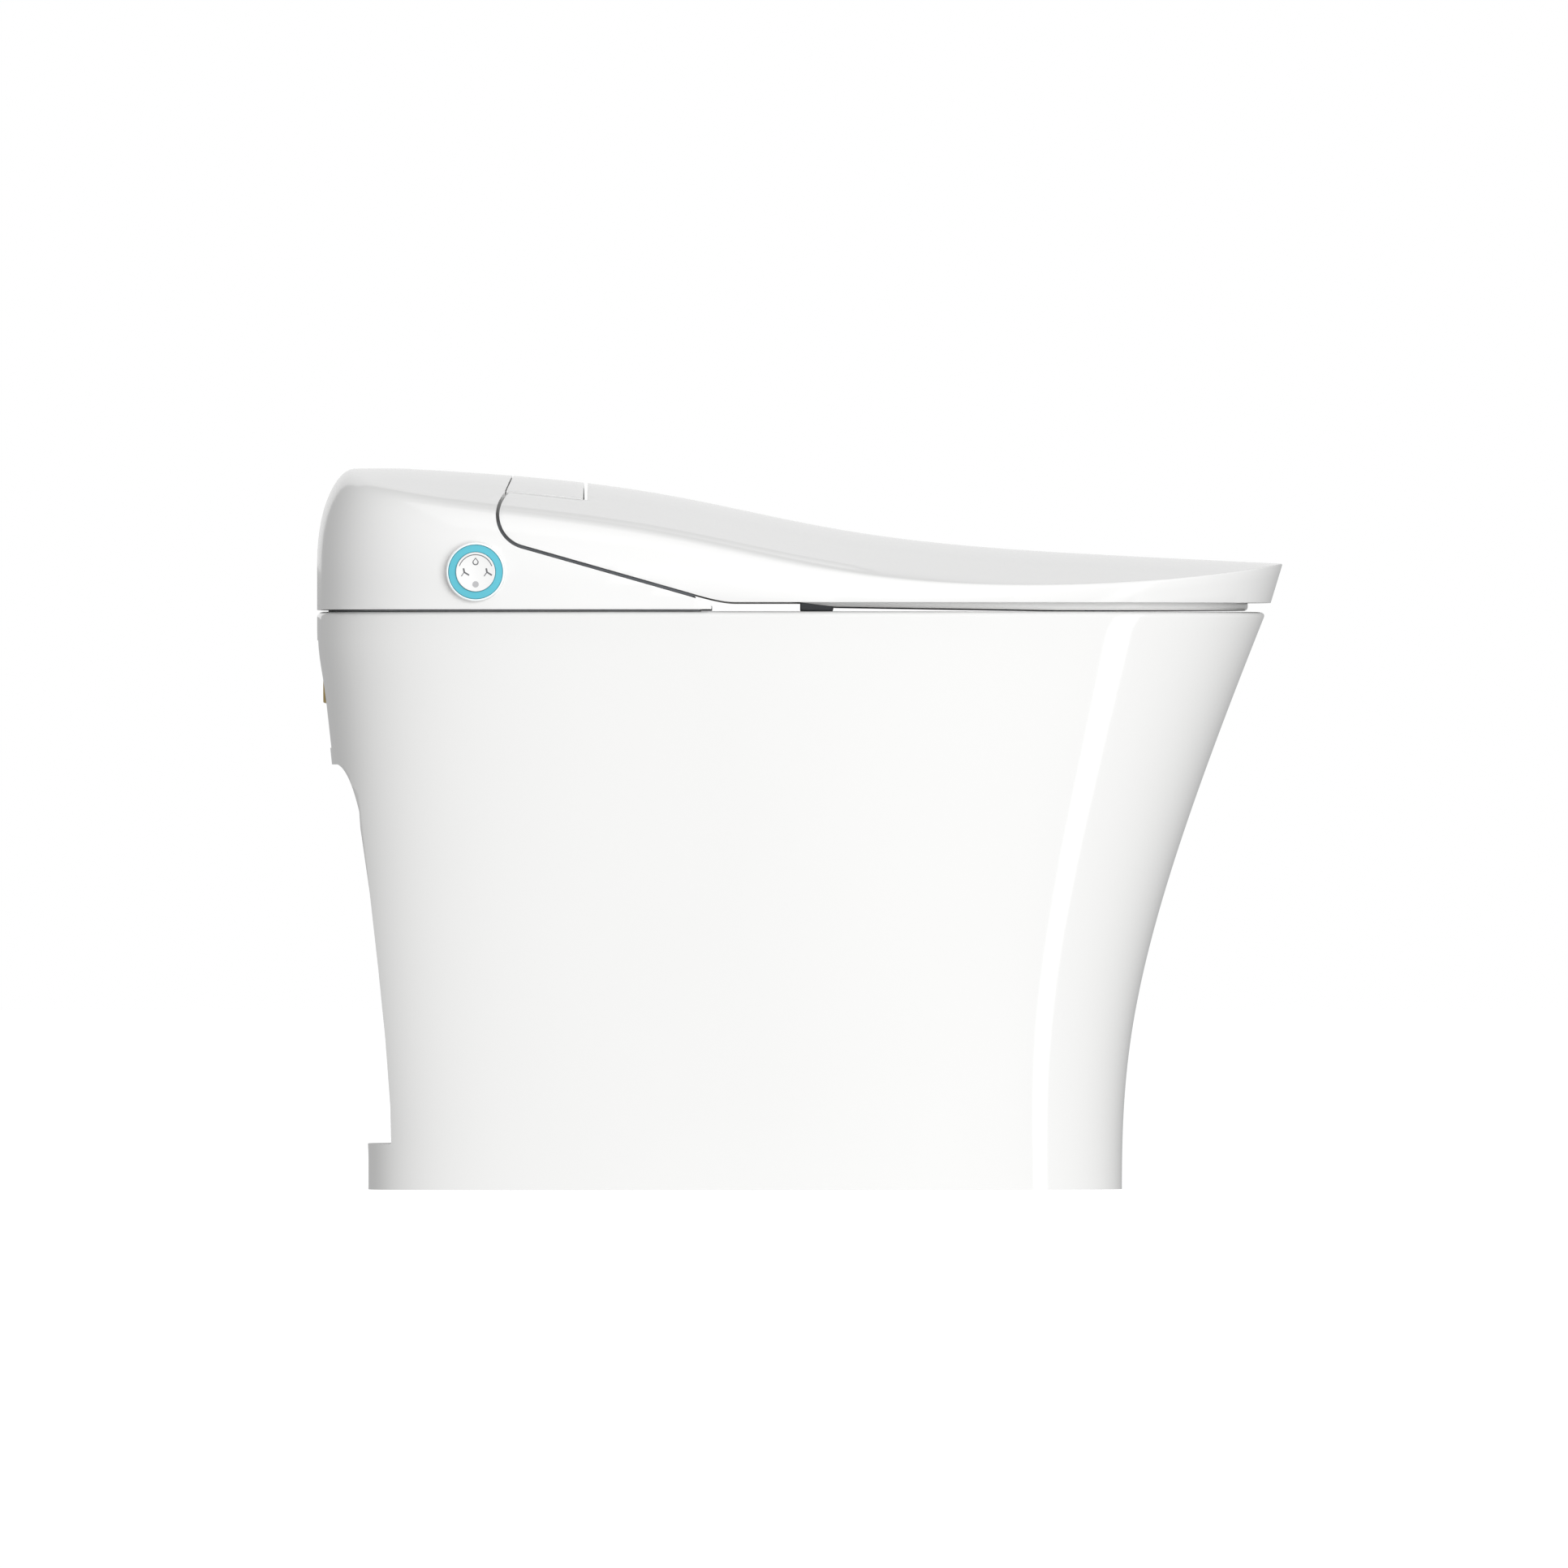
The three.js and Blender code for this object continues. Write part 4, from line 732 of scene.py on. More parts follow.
def pipe(route: Sequence[Vector], radius: float, steps: int = 48, sides: int = 28) -> Solid:
    """A round rod along a smooth route that lies in a plane of constant X.

    Args:
        route: Points that the middle of the rod passes.
        radius: Its radius.
        steps: Steps along it.
        sides: Sides round it.

    Returns:
        The rod.
    """
    places = []
    for step in range(steps + 1):
        at = step / steps * (len(route) - 1)
        i = min(int(at), len(route) - 2)
        a, b, c, d = (route[max(0, min(k, len(route) - 1))] for k in range(i - 1, i + 3))
        t = at - i
        places.append(0.5 * (
            2 * b + (c - a) * t + (2 * a - 5 * b + 4 * c - d) * t**2 + (3 * b - a - 3 * c + d) * t**3
        ))
    rings = []
    for i, place in enumerate(places):
        ahead = (places[min(i + 1, steps)] - places[max(i - 1, 0)]).normalized()
        side = Vector((1, 0, 0))
        up = side.cross(ahead)
        rings.append([
            place + radius * (side * math.cos(a) + up * math.sin(a))
            for a in (2 * math.pi * k / sides for k in range(sides))
        ])
    return Solid(loft(rings))


@dataclass(frozen=True)
class Edges:
    """How the edges of a finished piece are softened."""

    width: float = 0.0
    above: float = 50.0
    segments: int = 2


def publish(
    solid: Solid, name: str, finish: Finish, body: str, replaces: Sequence[str] = (),
    edges: Edges = Edges(), smooth: float = 32.0,
) -> bpy.types.Object:
    """Turn a solid into a finished piece of the object.

    Args:
        solid: The shape, which is used up.
        name: The piece's name.
        finish: Its finish.
        body: The body that it moves with.
        replaces: The CAD nodes that it stands for.
        edges: How its edges are softened.
        smooth: Angle in degrees up to which faces are shaded as one surface.

    Returns:
        The finished object.
    """
    bm = bmesh.new()
    bm.from_mesh(solid.holder.data)
    solid.discard()
    bmesh.ops.remove_doubles(bm, verts=bm.verts, dist=FINAL_MERGE)
    bmesh.ops.dissolve_degenerate(bm, dist=SHORTEST_EDGE, edges=bm.edges)
    if edges.width:
        sharp = [
            edge for edge in bm.edges
            if edge.is_manifold and edge.calc_face_angle(0) > math.radians(edges.above)
        ]
        bmesh.ops.bevel(
            bm, geom=sharp, offset=edges.width, affect="EDGES", segments=edges.segments,
            profile=0.5, material=-1, clamp_overlap=True,
        )
    bmesh.ops.scale(bm, vec=(MM, MM, MM), verts=bm.verts)
    mesh = bpy.data.meshes.new(name)
    bm.to_mesh(mesh)
    bm.free()
    mesh.shade_smooth()
    mesh.set_sharp_from_angle(angle=math.radians(smooth))
    mesh.materials.append(finish.material())
    piece = bpy.data.objects.new(name, mesh)
    bpy.context.scene.collection.objects.link(piece)
    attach(piece, body)
    if replaces:
        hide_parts(*replaces)
    log.info("%s: %d faces on %s", name, len(mesh.polygons), body)
    return piece


def box_mm(node: str) -> tuple[Vector, Vector]:
    """Lowest and highest corners of a CAD node at rest, in millimetres."""
    low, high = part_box(node)
    return Vector(low) / MM, Vector(high) / MM


def middle_mm(node: str) -> Vector:
    """Middle of a CAD node at rest, in millimetres."""
    low, high = box_mm(node)
    return (low + high) / 2


def cubic(controls: Sequence[float], share: float) -> float:
    """Value on a cubic curve with four control values.

    Args:
        controls: The four values.
        share: How far along the curve, from nothing to one.

    Returns:
        The value.
    """
    a, b, c, d = controls
    rest = 1 - share
    return rest**3 * a + 3 * share * rest**2 * b + 3 * share * share * rest * c + share**3 * d


def blend(start: float, end: float, share: float) -> float:
    """A value between two others."""
    return start + (end - start) * share


def clamp(value: float, low: float, high: float) -> float:
    """A value held between two others."""
    return min(max(value, low), high)


# ---------------------------------------------------------------------------------------------
# Shared places and the outer form
# ---------------------------------------------------------------------------------------------


@dataclass(frozen=True)
class Datum:
    """Places that several sub-assemblies share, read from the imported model."""

    front: float = box_mm("lid_shell")[0].y
    rear: float = box_mm("rear_cover")[1].y
    half_width: float = box_mm("lid_shell")[1].x
    rim: float = box_mm("ceramic_pan")[1].z
    hinge: Vector = field(default_factory=lambda: middle_mm("hinge_pin_left"))
    dial: Vector = field(default_factory=lambda: middle_mm("light_ring"))

    @property
    def length(self) -> float:
        """Length of the whole."""
        return self.rear - self.front


@dataclass(frozen=True)
class Outline:
    """Plan outline of two superellipse halves that meet where it is widest."""

    front: float
    rear: float
    half_width: float
    widest: float
    front_power: float
    rear_power: float

    def _at(self, angle: float) -> Vector:
        """Point at an angle from the rear middle, round by +X."""
        s, c = math.sin(angle), math.cos(angle)
        power = self.rear_power if c >= 0 else self.front_power
        reach = self.rear - self.widest if c >= 0 else self.widest - self.front
        x = self.half_width * math.copysign(abs(s) ** (2 / power), s)
        y = self.widest + reach * math.copysign(abs(c) ** (2 / power), c)
        return Vector((x, y, 0))

    def points(self, count: int, fine: int = 960) -> list[Vector]:
        """Points at equal steps along the outline.

        Args:
            count: How many points.
            fine: How many points the length is measured with.

        Returns:
            The points, from the rear middle round by +X.
        """
        track = [self._at(2 * math.pi * step / fine) for step in range(fine + 1)]
        reached = [0.0]
        for before, after in zip(track, track[1:]):
            reached.append(reached[-1] + (after - before).length)
        points = []
        at = 0
        for step in range(count):
            target = reached[-1] * step / count
            while reached[at + 1] < target:
                at += 1
            share = (target - reached[at]) / max(reached[at + 1] - reached[at], 1e-9)
            points.append(track[at].lerp(track[at + 1], share))
        return points


def inwards(points: Sequence[Vector]) -> list[Vector]:
    """Inward directions of a plan outline at its points.

    Args:
        points: The outline, from the rear middle round by +X.

    Returns:
        One direction for each point.
    """
    found = []
    for i in range(len(points)):
        step = points[(i + 1) % len(points)] - points[i - 1]
        found.append(Vector((step.y, -step.x, 0)).normalized())
    return found


@dataclass
class BodyForm:
    """Outer form of the seat unit and lid: an S-shaped roof on walls that turn over into it."""

    datum: Datum
    middle_height: float = 71.4
    slope: float = 0.0454
    half_rise: float = 20.4
    bend_length: float = 123.8
    bend_from_rear: float = 312.6
    highest: float = 104.3
    side_drop: float = 34.5
    widest_from_rear: float = 290.0
    front_power: float = 2.3
    rear_power: float = 4.0
    crease_from_front: float = 50.0
    crease: float = 1.0
    rise: float = 68.7
    depth: float = 30.0
    fade: float = 1.4
    rear_tuck: float = 1.9
    lean: float = 0.304
    foot_drop: float = 30.0
    spine_share: float = 0.75
    columns: int = 176
    wall_rows: int = 8
    turn_rows: int = 14
    roof_rows: int = 16
    smooth_front: float = 150.0
    smooth_side: float = 8.0
    smooth_rear: float = 6.0
    smooth_above_rim: float = 30.0
    smooth_rounds: int = 5

    @property
    def widest(self) -> float:
        """Where the plan is widest."""
        return self.datum.rear - self.widest_from_rear

    def outline(self) -> Outline:
        """Plan outline of the form."""
        d = self.datum
        return Outline(d.front, d.rear, d.half_width, self.widest, self.front_power, self.rear_power)

    def roof(self, x: float, y: float) -> float:
        """Height of the roof over a point of the plan."""
        d = self.datum
        bend = math.tanh((y - (d.rear - self.bend_from_rear)) / self.bend_length)
        line = d.rim + self.middle_height + self.slope * y + self.half_rise * bend
        return min(line, d.rim + self.highest) - self.side_drop * (x / d.half_width) ** 2

    def solid(self, inset: float = 0.0) -> Solid:
        """The form with all its faces moved in by an inset.

        Args:
            inset: How far; with none, the turn into the roof is also eased.

        Returns:
            The form.
        """
        points = self.outline().points(self.columns)
        rows = self.wall_rows + self.turn_rows + self.roof_rows + 1
        rings: list[list[Vector]] = [[] for _ in range(rows)]
        for point, normal in zip(points, inwards(points)):
            for row, vert in enumerate(self._column(point, normal, inset)):
                rings[row].append(vert)
        bm = loft(rings)
        if not inset:
            self._smooth_roof(bm)
        return Solid(bm)

    def _smooth_roof(self, bm: bmesh.types.BMesh) -> None:
        """Ease the heights where the walls turn over into the roof."""
        d = self.datum
        front, rear = d.front + self.smooth_front, d.rear - self.smooth_rear
        roof = [
            vert for vert in bm.verts
            if front < vert.co.y < rear and abs(vert.co.x) < d.half_width - self.smooth_side
            and vert.co.z > d.rim + self.smooth_above_rim and len(vert.link_edges) == 4
        ]
        for _ in range(self.smooth_rounds):
            bmesh.ops.smooth_vert(bm, verts=roof, factor=0.5, use_axis_z=True)

    def _column(self, point: Vector, normal: Vector, inset: float) -> list[Vector]:
        """One column of the form, from its foot up and over to the spine.

        Args:
            point: Point of the plan outline.
            normal: Inward direction there.
            inset: How far the faces are moved in.

        Returns:
            Points of the column.
        """
        d = self.datum
        outer = point + normal * inset
        behind = point.y - d.front - self.crease_from_front
        along = clamp(behind / (d.length - self.crease_from_front), 0, 1)
        rise = self.crease + (self.rise - self.crease) * along**self.fade
        depth = self.crease + (self.depth - self.crease) * math.sin(along * math.pi / 2)
        tuck = self.rear_tuck * clamp((point.y - d.rear + self.foot_drop) / self.foot_drop, 0, 1)
        inner = outer + normal * depth
        base = self.roof(inner.x, inner.y) - inset + tuck - rise
        bottom = d.rim - self.foot_drop
        lean = self.lean * (1 - (point.y - d.front) / d.length) * (base - bottom)
        column = []
        for row in range(self.wall_rows):
            share = row / self.wall_rows
            foot = outer + normal * lean * (1 - share)
            column.append(Vector((foot.x, foot.y, blend(bottom, base, share))))
        for row in range(self.turn_rows + 1):
            turn = math.pi / 2 * row / self.turn_rows
            at = outer + normal * depth * (1 - math.cos(turn))
            height = min(base + rise * math.sin(turn), self.roof(at.x, at.y) - inset)
            column.append(Vector((at.x, at.y, height)))
        spine = self.spine_share * point.y
        for row in range(1, self.roof_rows + 1):
            share = 1 - row / self.roof_rows
            x, y = inner.x * share, blend(spine, inner.y, share)
            column.append(Vector((x, y, self.roof(x, y) - inset)))
        return column


@dataclass
class Seam:
    """Sloping seam between the lid and the wings, with its arc round the hinge."""

    datum: Datum
    ear_radius: float = 22.8
    gap: float = 2.5
    angle: float = 15.9
    lid_edge: float = 6.6
    tip_from_hinge: float = 130.4
    cover_lift: float = 1.5
    below_rim: float = 25.0
    nose: float = 3.0
    nose_bulge: float = 1.5
    wing_reach: float = 128.0
    housing_ear_end: float = 70.0
    lid_nose: float = 16.5
    lid_nose_end: float = 6.0
    lid_reach: float = 125.0
    ear_steps: int = 40

    @property
    def wing_tip(self) -> float:
        """Front end of the wings."""
        return self.datum.hinge.y - self.tip_from_hinge

    @property
    def cover_bottom(self) -> float:
        """Lower edge of the housing."""
        return self.datum.rim + self.cover_lift

    def point(self, radius: float, forward: float) -> Flat:
        """Point on the line that touches a circle round the hinge and runs forward and down.

        Args:
            radius: Radius of the circle.
            forward: Distance from where the line touches it.

        Returns:
            The point as (Y, Z).
        """
        hinge, slope = self.datum.hinge, math.radians(self.angle)
        return (
            hinge.y + radius * math.sin(slope) - forward * math.cos(slope),
            hinge.z - radius * math.cos(slope) - forward * math.sin(slope),
        )

    def housing_side(self, inset: float) -> list[Flat]:
        """Side view of what lies behind and below the seam.

        Args:
            inset: How far its edges are moved in.

        Returns:
            The outline as (Y, Z).
        """
        hinge = self.datum.hinge
        radius = self.ear_radius + self.gap + inset
        low = self.datum.rim - self.below_rim
        nose = self.cover_bottom + self.nose
        tip = self.wing_tip + inset
        tip_end = self.point(radius, self.wing_reach)
        around = arc(
            (hinge.y, hinge.z), radius, self.angle - 90, self.housing_ear_end, self.ear_steps
        )
        return [
            (tip, low), (tip, nose - inset),
            *bent((tip, nose - inset), (tip, nose + self.nose_bulge - inset), tip_end),
            *around, (around[-1][0], FAR), (FAR, FAR), (FAR, low),
        ]

    def lid_side(self, inset: float) -> list[Flat]:
        """Side view of the lid with its round ear.

        Args:
            inset: How far its edges are moved in.

        Returns:
            The outline as (Y, Z).
        """
        hinge = self.datum.hinge
        radius = self.ear_radius - inset
        edge = self.datum.rim + self.lid_edge
        start = (self.wing_tip - self.lid_nose, edge)
        turn = (self.wing_tip - self.lid_nose_end, edge)
        nose = bent(start, turn, self.point(radius, self.lid_reach))
        around = arc((hinge.y, hinge.z), radius, self.angle - 90, 90, self.ear_steps)
        return [(-FAR, edge), start, *nose, *around, (hinge.y, FAR), (-FAR, FAR)]


# ---------------------------------------------------------------------------------------------
# Ceramic pan
# ---------------------------------------------------------------------------------------------


@dataclass
class Pan:
    """Ceramic pan: skirt, rim, deck, basin and trapway in one casting."""

    datum: Datum
    form: BodyForm
    wall: float = 12.0
    deck: float = 16.0
    rim_step: float = 11.8
    rim_inset: float = 9.0
    edge_radius: float = 4.0
    foot_step: float = 116.3
    foot_half_width: float = 128.0
    foot_widest: float = 300.0
    foot_power: float = 2.5
    flare: float = 1.7
    front_low: float = 0.263
    front_high: float = 0.427
    front_lean: float = 8.5
    front_halvings: int = 24
    heel_step: float = 37.1
    recess_low: float = 33.0
    recess_high: float = 308.0
    recess_wall_top: float = 270.0
    recess_turn: Flat = (31.2, 273.7)
    recess_crown: Flat = (24.0, 4.0)
    recess_lip: float = 15.3
    recess_skin: float = 0.6
    recess_ease: float = 1.2
    outer_rear: tuple[Flat, ...] = (
        (0, heel_step), (recess_low, heel_step), (309.5, 10.6), (362, 5), (392, 0), (500, 0),
    )
    inner_rear: tuple[Flat, ...] = (
        (0, 54.7), (60, 53.6), (109, 50), (162, 44.7), (215, 38.8), (262, 32), (283, 28.8),
        (recess_high, recess_lip), (309.5, 10.6), (362, 5), (392, 0), (500, 0),
    )
    rear_ease: int = 12
    rear_ease_step: int = 4
    columns: int = 168
    level_step: float = 7.0
    level_margin: float = 8.0
    below_floor: float = 10.0
    measure_steps: int = 480
    basin_front: float = 66.0
    basin_front_pull: float = 1.5
    basin_rear: float = 66.3
    basin_rear_pull: float = 0.75
    basin_half_width: float = 124.0
    basin_widest: float = 400.0
    basin_widest_pull: float = 0.3
    basin_powers: Flat = (2.1, 2.6)
    basin_wall: float = 11.0
    basin_columns: int = 96
    basin_level_step: float = 12.0
    basin_steps: tuple[Flat, ...] = (
        (-9, -14), (-1, -10), (0, -7.2), (2, -3.9), (5, -1.4), (10, 0.4), (22, 4), (60, 14),
        (115, 32), (165, 58), (200, 84), (212, 98),
    )
    trap_radius: float = 26.0
    trap_wall: float = 8.0
    trap_mouth: Place = (0.0, -20.0, 12.0)
    outlet_from_rear: float = 215.0
    outlet_spigot: Flat = (24.0, 90.0)
    outlet_bore: Flat = (10.0, 70.0)
    deck_cut: Flat = (40.0, 9.0)
    well_half_width: float = 118.0
    well_front: float = 168.0
    well_rear: float = 40.0
    well_radius: float = 18.0
    window_half_width: float = 60.0
    window_wall: float = 34.0
    window_past: float = 20.0
    window_height: Flat = (320.0, 398.0)
    bolt_x: float = 145.0
    bolt_step: float = 4.0
    bolt_radius: float = 6.0

    def build(self) -> None:
        """Make the casting and dress it."""
        d = self.datum
        body = Solid(loft(self._rings(self.outer_rear, 0, d.rim)))
        body.cut(self._recess())
        body.cut(Solid(loft(self._rings(self.inner_rear, self.wall, d.rim - self.deck))))
        body.cut(Solid(loft(self._rings(self.outer_rear, self.wall, self.recess_low - self.wall))))
        basin = Solid(loft(self._basin_rings(self.basin_wall)))
        basin.meet(block(-FAR, FAR, -FAR, FAR, 0, d.rim - 1))
        route = self._trap_route()
        outside = self.trap_radius + self.trap_wall
        outlet = (0.0, d.rear - self.outlet_from_rear)
        body.join(basin, pipe(route, outside), rod(Axis.Z, outlet, *self.outlet_spigot, outside))
        body.cut(
            Solid(loft(self._basin_rings(0))),
            pipe([route[0] + Vector(self.trap_mouth), *route], self.trap_radius),
            rod(Axis.Z, outlet, *self.outlet_bore, self.trap_radius), *self._openings(),
        )
        publish(body, "glazed_pan", GLAZE, "pan_and_unit", ["ceramic_pan"], smooth=38)

    def _openings(self) -> list[Solid]:
        """Cutters for the well under the unit, the window at the rear and the two bolt holes."""
        d = self.datum
        low, high = d.rim - self.deck_cut[0], d.rim + self.deck_cut[1]
        half, side = self.well_half_width, self.window_half_width
        return [
            port(Axis.Z, -half, half, d.rear - self.well_front, d.rear - self.well_rear, low, high,
                 self.well_radius),
            block(-side, side, d.rear - self.window_wall, d.rear + self.window_past,
                  *self.window_height),
            *(rod(Axis.Z, (x, d.hinge.y - self.bolt_step), low, high, self.bolt_radius, steps=24)
              for x in (-self.bolt_x, self.bolt_x)),
        ]

    def _recess(self) -> Solid:
        """Recess that is cut across the rear of the skirt, between the heel and the deck."""
        rear, ease_by, low, high = self.datum.rear, self.recess_ease, self.recess_low, self.recess_high
        wall = [(rear - step, z) for z, step in self.inner_rear if low < z < self.recess_wall_top]
        foot = (rear - self.inner_rear[0][1] + self.recess_skin, low)
        turn = (rear - self.recess_turn[0], self.recess_turn[1])
        crown = (rear - self.recess_crown[0], high - self.recess_crown[1])
        side = [
            (FAR, low), (foot[0] + ease_by, low),
            *bent((foot[0] + ease_by, low), foot, (foot[0], low + ease_by), 4), *wall, turn,
            *bent(turn, crown, (rear - self.recess_lip, high), 14), (FAR, high),
        ]
        return prism(side, Axis.X, -FAR, FAR)

    def _front(self, height: float) -> float:
        """Front of the pan at a height: upright at the floor, then leaning out."""
        d = self.datum
        foot = d.front + self.foot_step
        ys = (foot, foot, foot - self.front_lean, d.front + self.rim_step)
        zs = (0, self.front_low * d.rim, self.front_high * d.rim, d.rim)
        low, high = 0.0, 1.0
        for _ in range(self.front_halvings):
            middle = (low + high) / 2
            if cubic(zs, middle) < height:
                low = middle
            else:
                high = middle
        return cubic(ys, low)

    def _rear_step(self, steps: Sequence[Flat], height: float) -> float:
        """How far the rear stands in at a height, with the corners of its steps eased.

        Args:
            steps: Heights, each with how far the rear stands in there.
            height: The height.

        Returns:
            The distance from the rearmost point.
        """
        total = 0.0
        offsets = range(-self.rear_ease, self.rear_ease + 1, self.rear_ease_step)
        for offset in offsets:
            z = clamp(height + offset, 0, self.datum.rim)
            upper = next(i for i in range(1, len(steps)) if steps[i][0] >= z)
            (z0, s0), (z1, s1) = steps[upper - 1], steps[upper]
            total += blend(s0, s1, (z - z0) / (z1 - z0))
        return total / len(offsets)

    def _rings(
        self, rear_steps: Sequence[Flat], inset: float, top: float
    ) -> list[list[Vector]]:
        """Plan outlines from the floor to a top, moved in by an inset.

        Args:
            rear_steps: Heights, each with how far the rear stands in there.
            inset: How far the outlines are moved in.
            top: Height of the last one.

        Returns:
            The outlines as rings of points.
        """
        d, form = self.datum, self.form
        count = int((top - self.level_margin) / self.level_step) + 1
        levels = [(i * self.level_step, 0.0) for i in range(count)]
        if inset:
            levels = [(-self.below_floor, 0.0), *levels, (top, 0.0)]
        else:
            radius = self.edge_radius
            angles = [math.pi / 2 * step / 6 for step in range(7)]
            levels += [
                (top - radius + radius * math.sin(a), radius * (1 - math.cos(a))) for a in angles
            ]
        rings = []
        for height, edge in levels:
            z = max(height, 0)
            share = z / d.rim
            ring = Outline(
                front=self._front(z) + inset + edge,
                rear=d.rear - self._rear_step(rear_steps, z) - inset - edge,
                half_width=blend(self.foot_half_width, d.half_width - self.rim_inset,
                                 share**self.flare) - inset - edge,
                widest=blend(d.rear - self.foot_widest, form.widest, share),
                front_power=blend(self.foot_power, form.front_power, share),
                rear_power=form.rear_power,
            )
            plan = ring.points(self.columns, self.measure_steps)
            rings.append([Vector((p.x, p.y, height)) for p in plan])
        return rings

    def _basin_rings(self, outset: float) -> list[list[Vector]]:
        """Rings of the basin's hollow with its walls moved out, from the sump up.

        Args:
            outset: How far the walls are moved out.

        Returns:
            The rings.
        """
        d = self.datum
        levels = []
        steps = self.basin_steps
        for (z0, s0), (z1, s1) in zip(steps, steps[1:]):
            parts = max(1, round((z1 - z0) / self.basin_level_step))
            levels += [(blend(z0, z1, k / parts), blend(s0, s1, k / parts)) for k in range(parts)]
        levels.append(steps[-1])
        rings = []
        for depth, step in levels:
            ring = Outline(
                front=d.front + self.basin_front + self.basin_front_pull * step - outset,
                rear=d.hinge.y - self.basin_rear - self.basin_rear_pull * step + outset,
                half_width=self.basin_half_width - step + outset,
                widest=d.rear - self.basin_widest + self.basin_widest_pull * step,
                front_power=self.basin_powers[0],
                rear_power=self.basin_powers[1],
            )
            low = outset if depth == steps[-1][0] else 0
            plan = ring.points(self.basin_columns, self.measure_steps)
            rings.append([Vector((p.x, p.y, d.rim - depth - low)) for p in plan])
        return rings[::-1]

    def _trap_route(self) -> list[Vector]:
        """Route of the trapway from the sump over its weir to the floor."""
        d = self.datum
        places = ((385, d.rim - 196), (330, d.rim - 200), (270, d.rim - 160), (225, d.rim - 175),
                  (self.outlet_from_rear, d.rim - 260), (self.outlet_from_rear, 60))
        return [Vector((0, d.rear - back, z)) for back, z in places]


# ---------------------------------------------------------------------------------------------
# Housing of the seat unit
# ---------------------------------------------------------------------------------------------


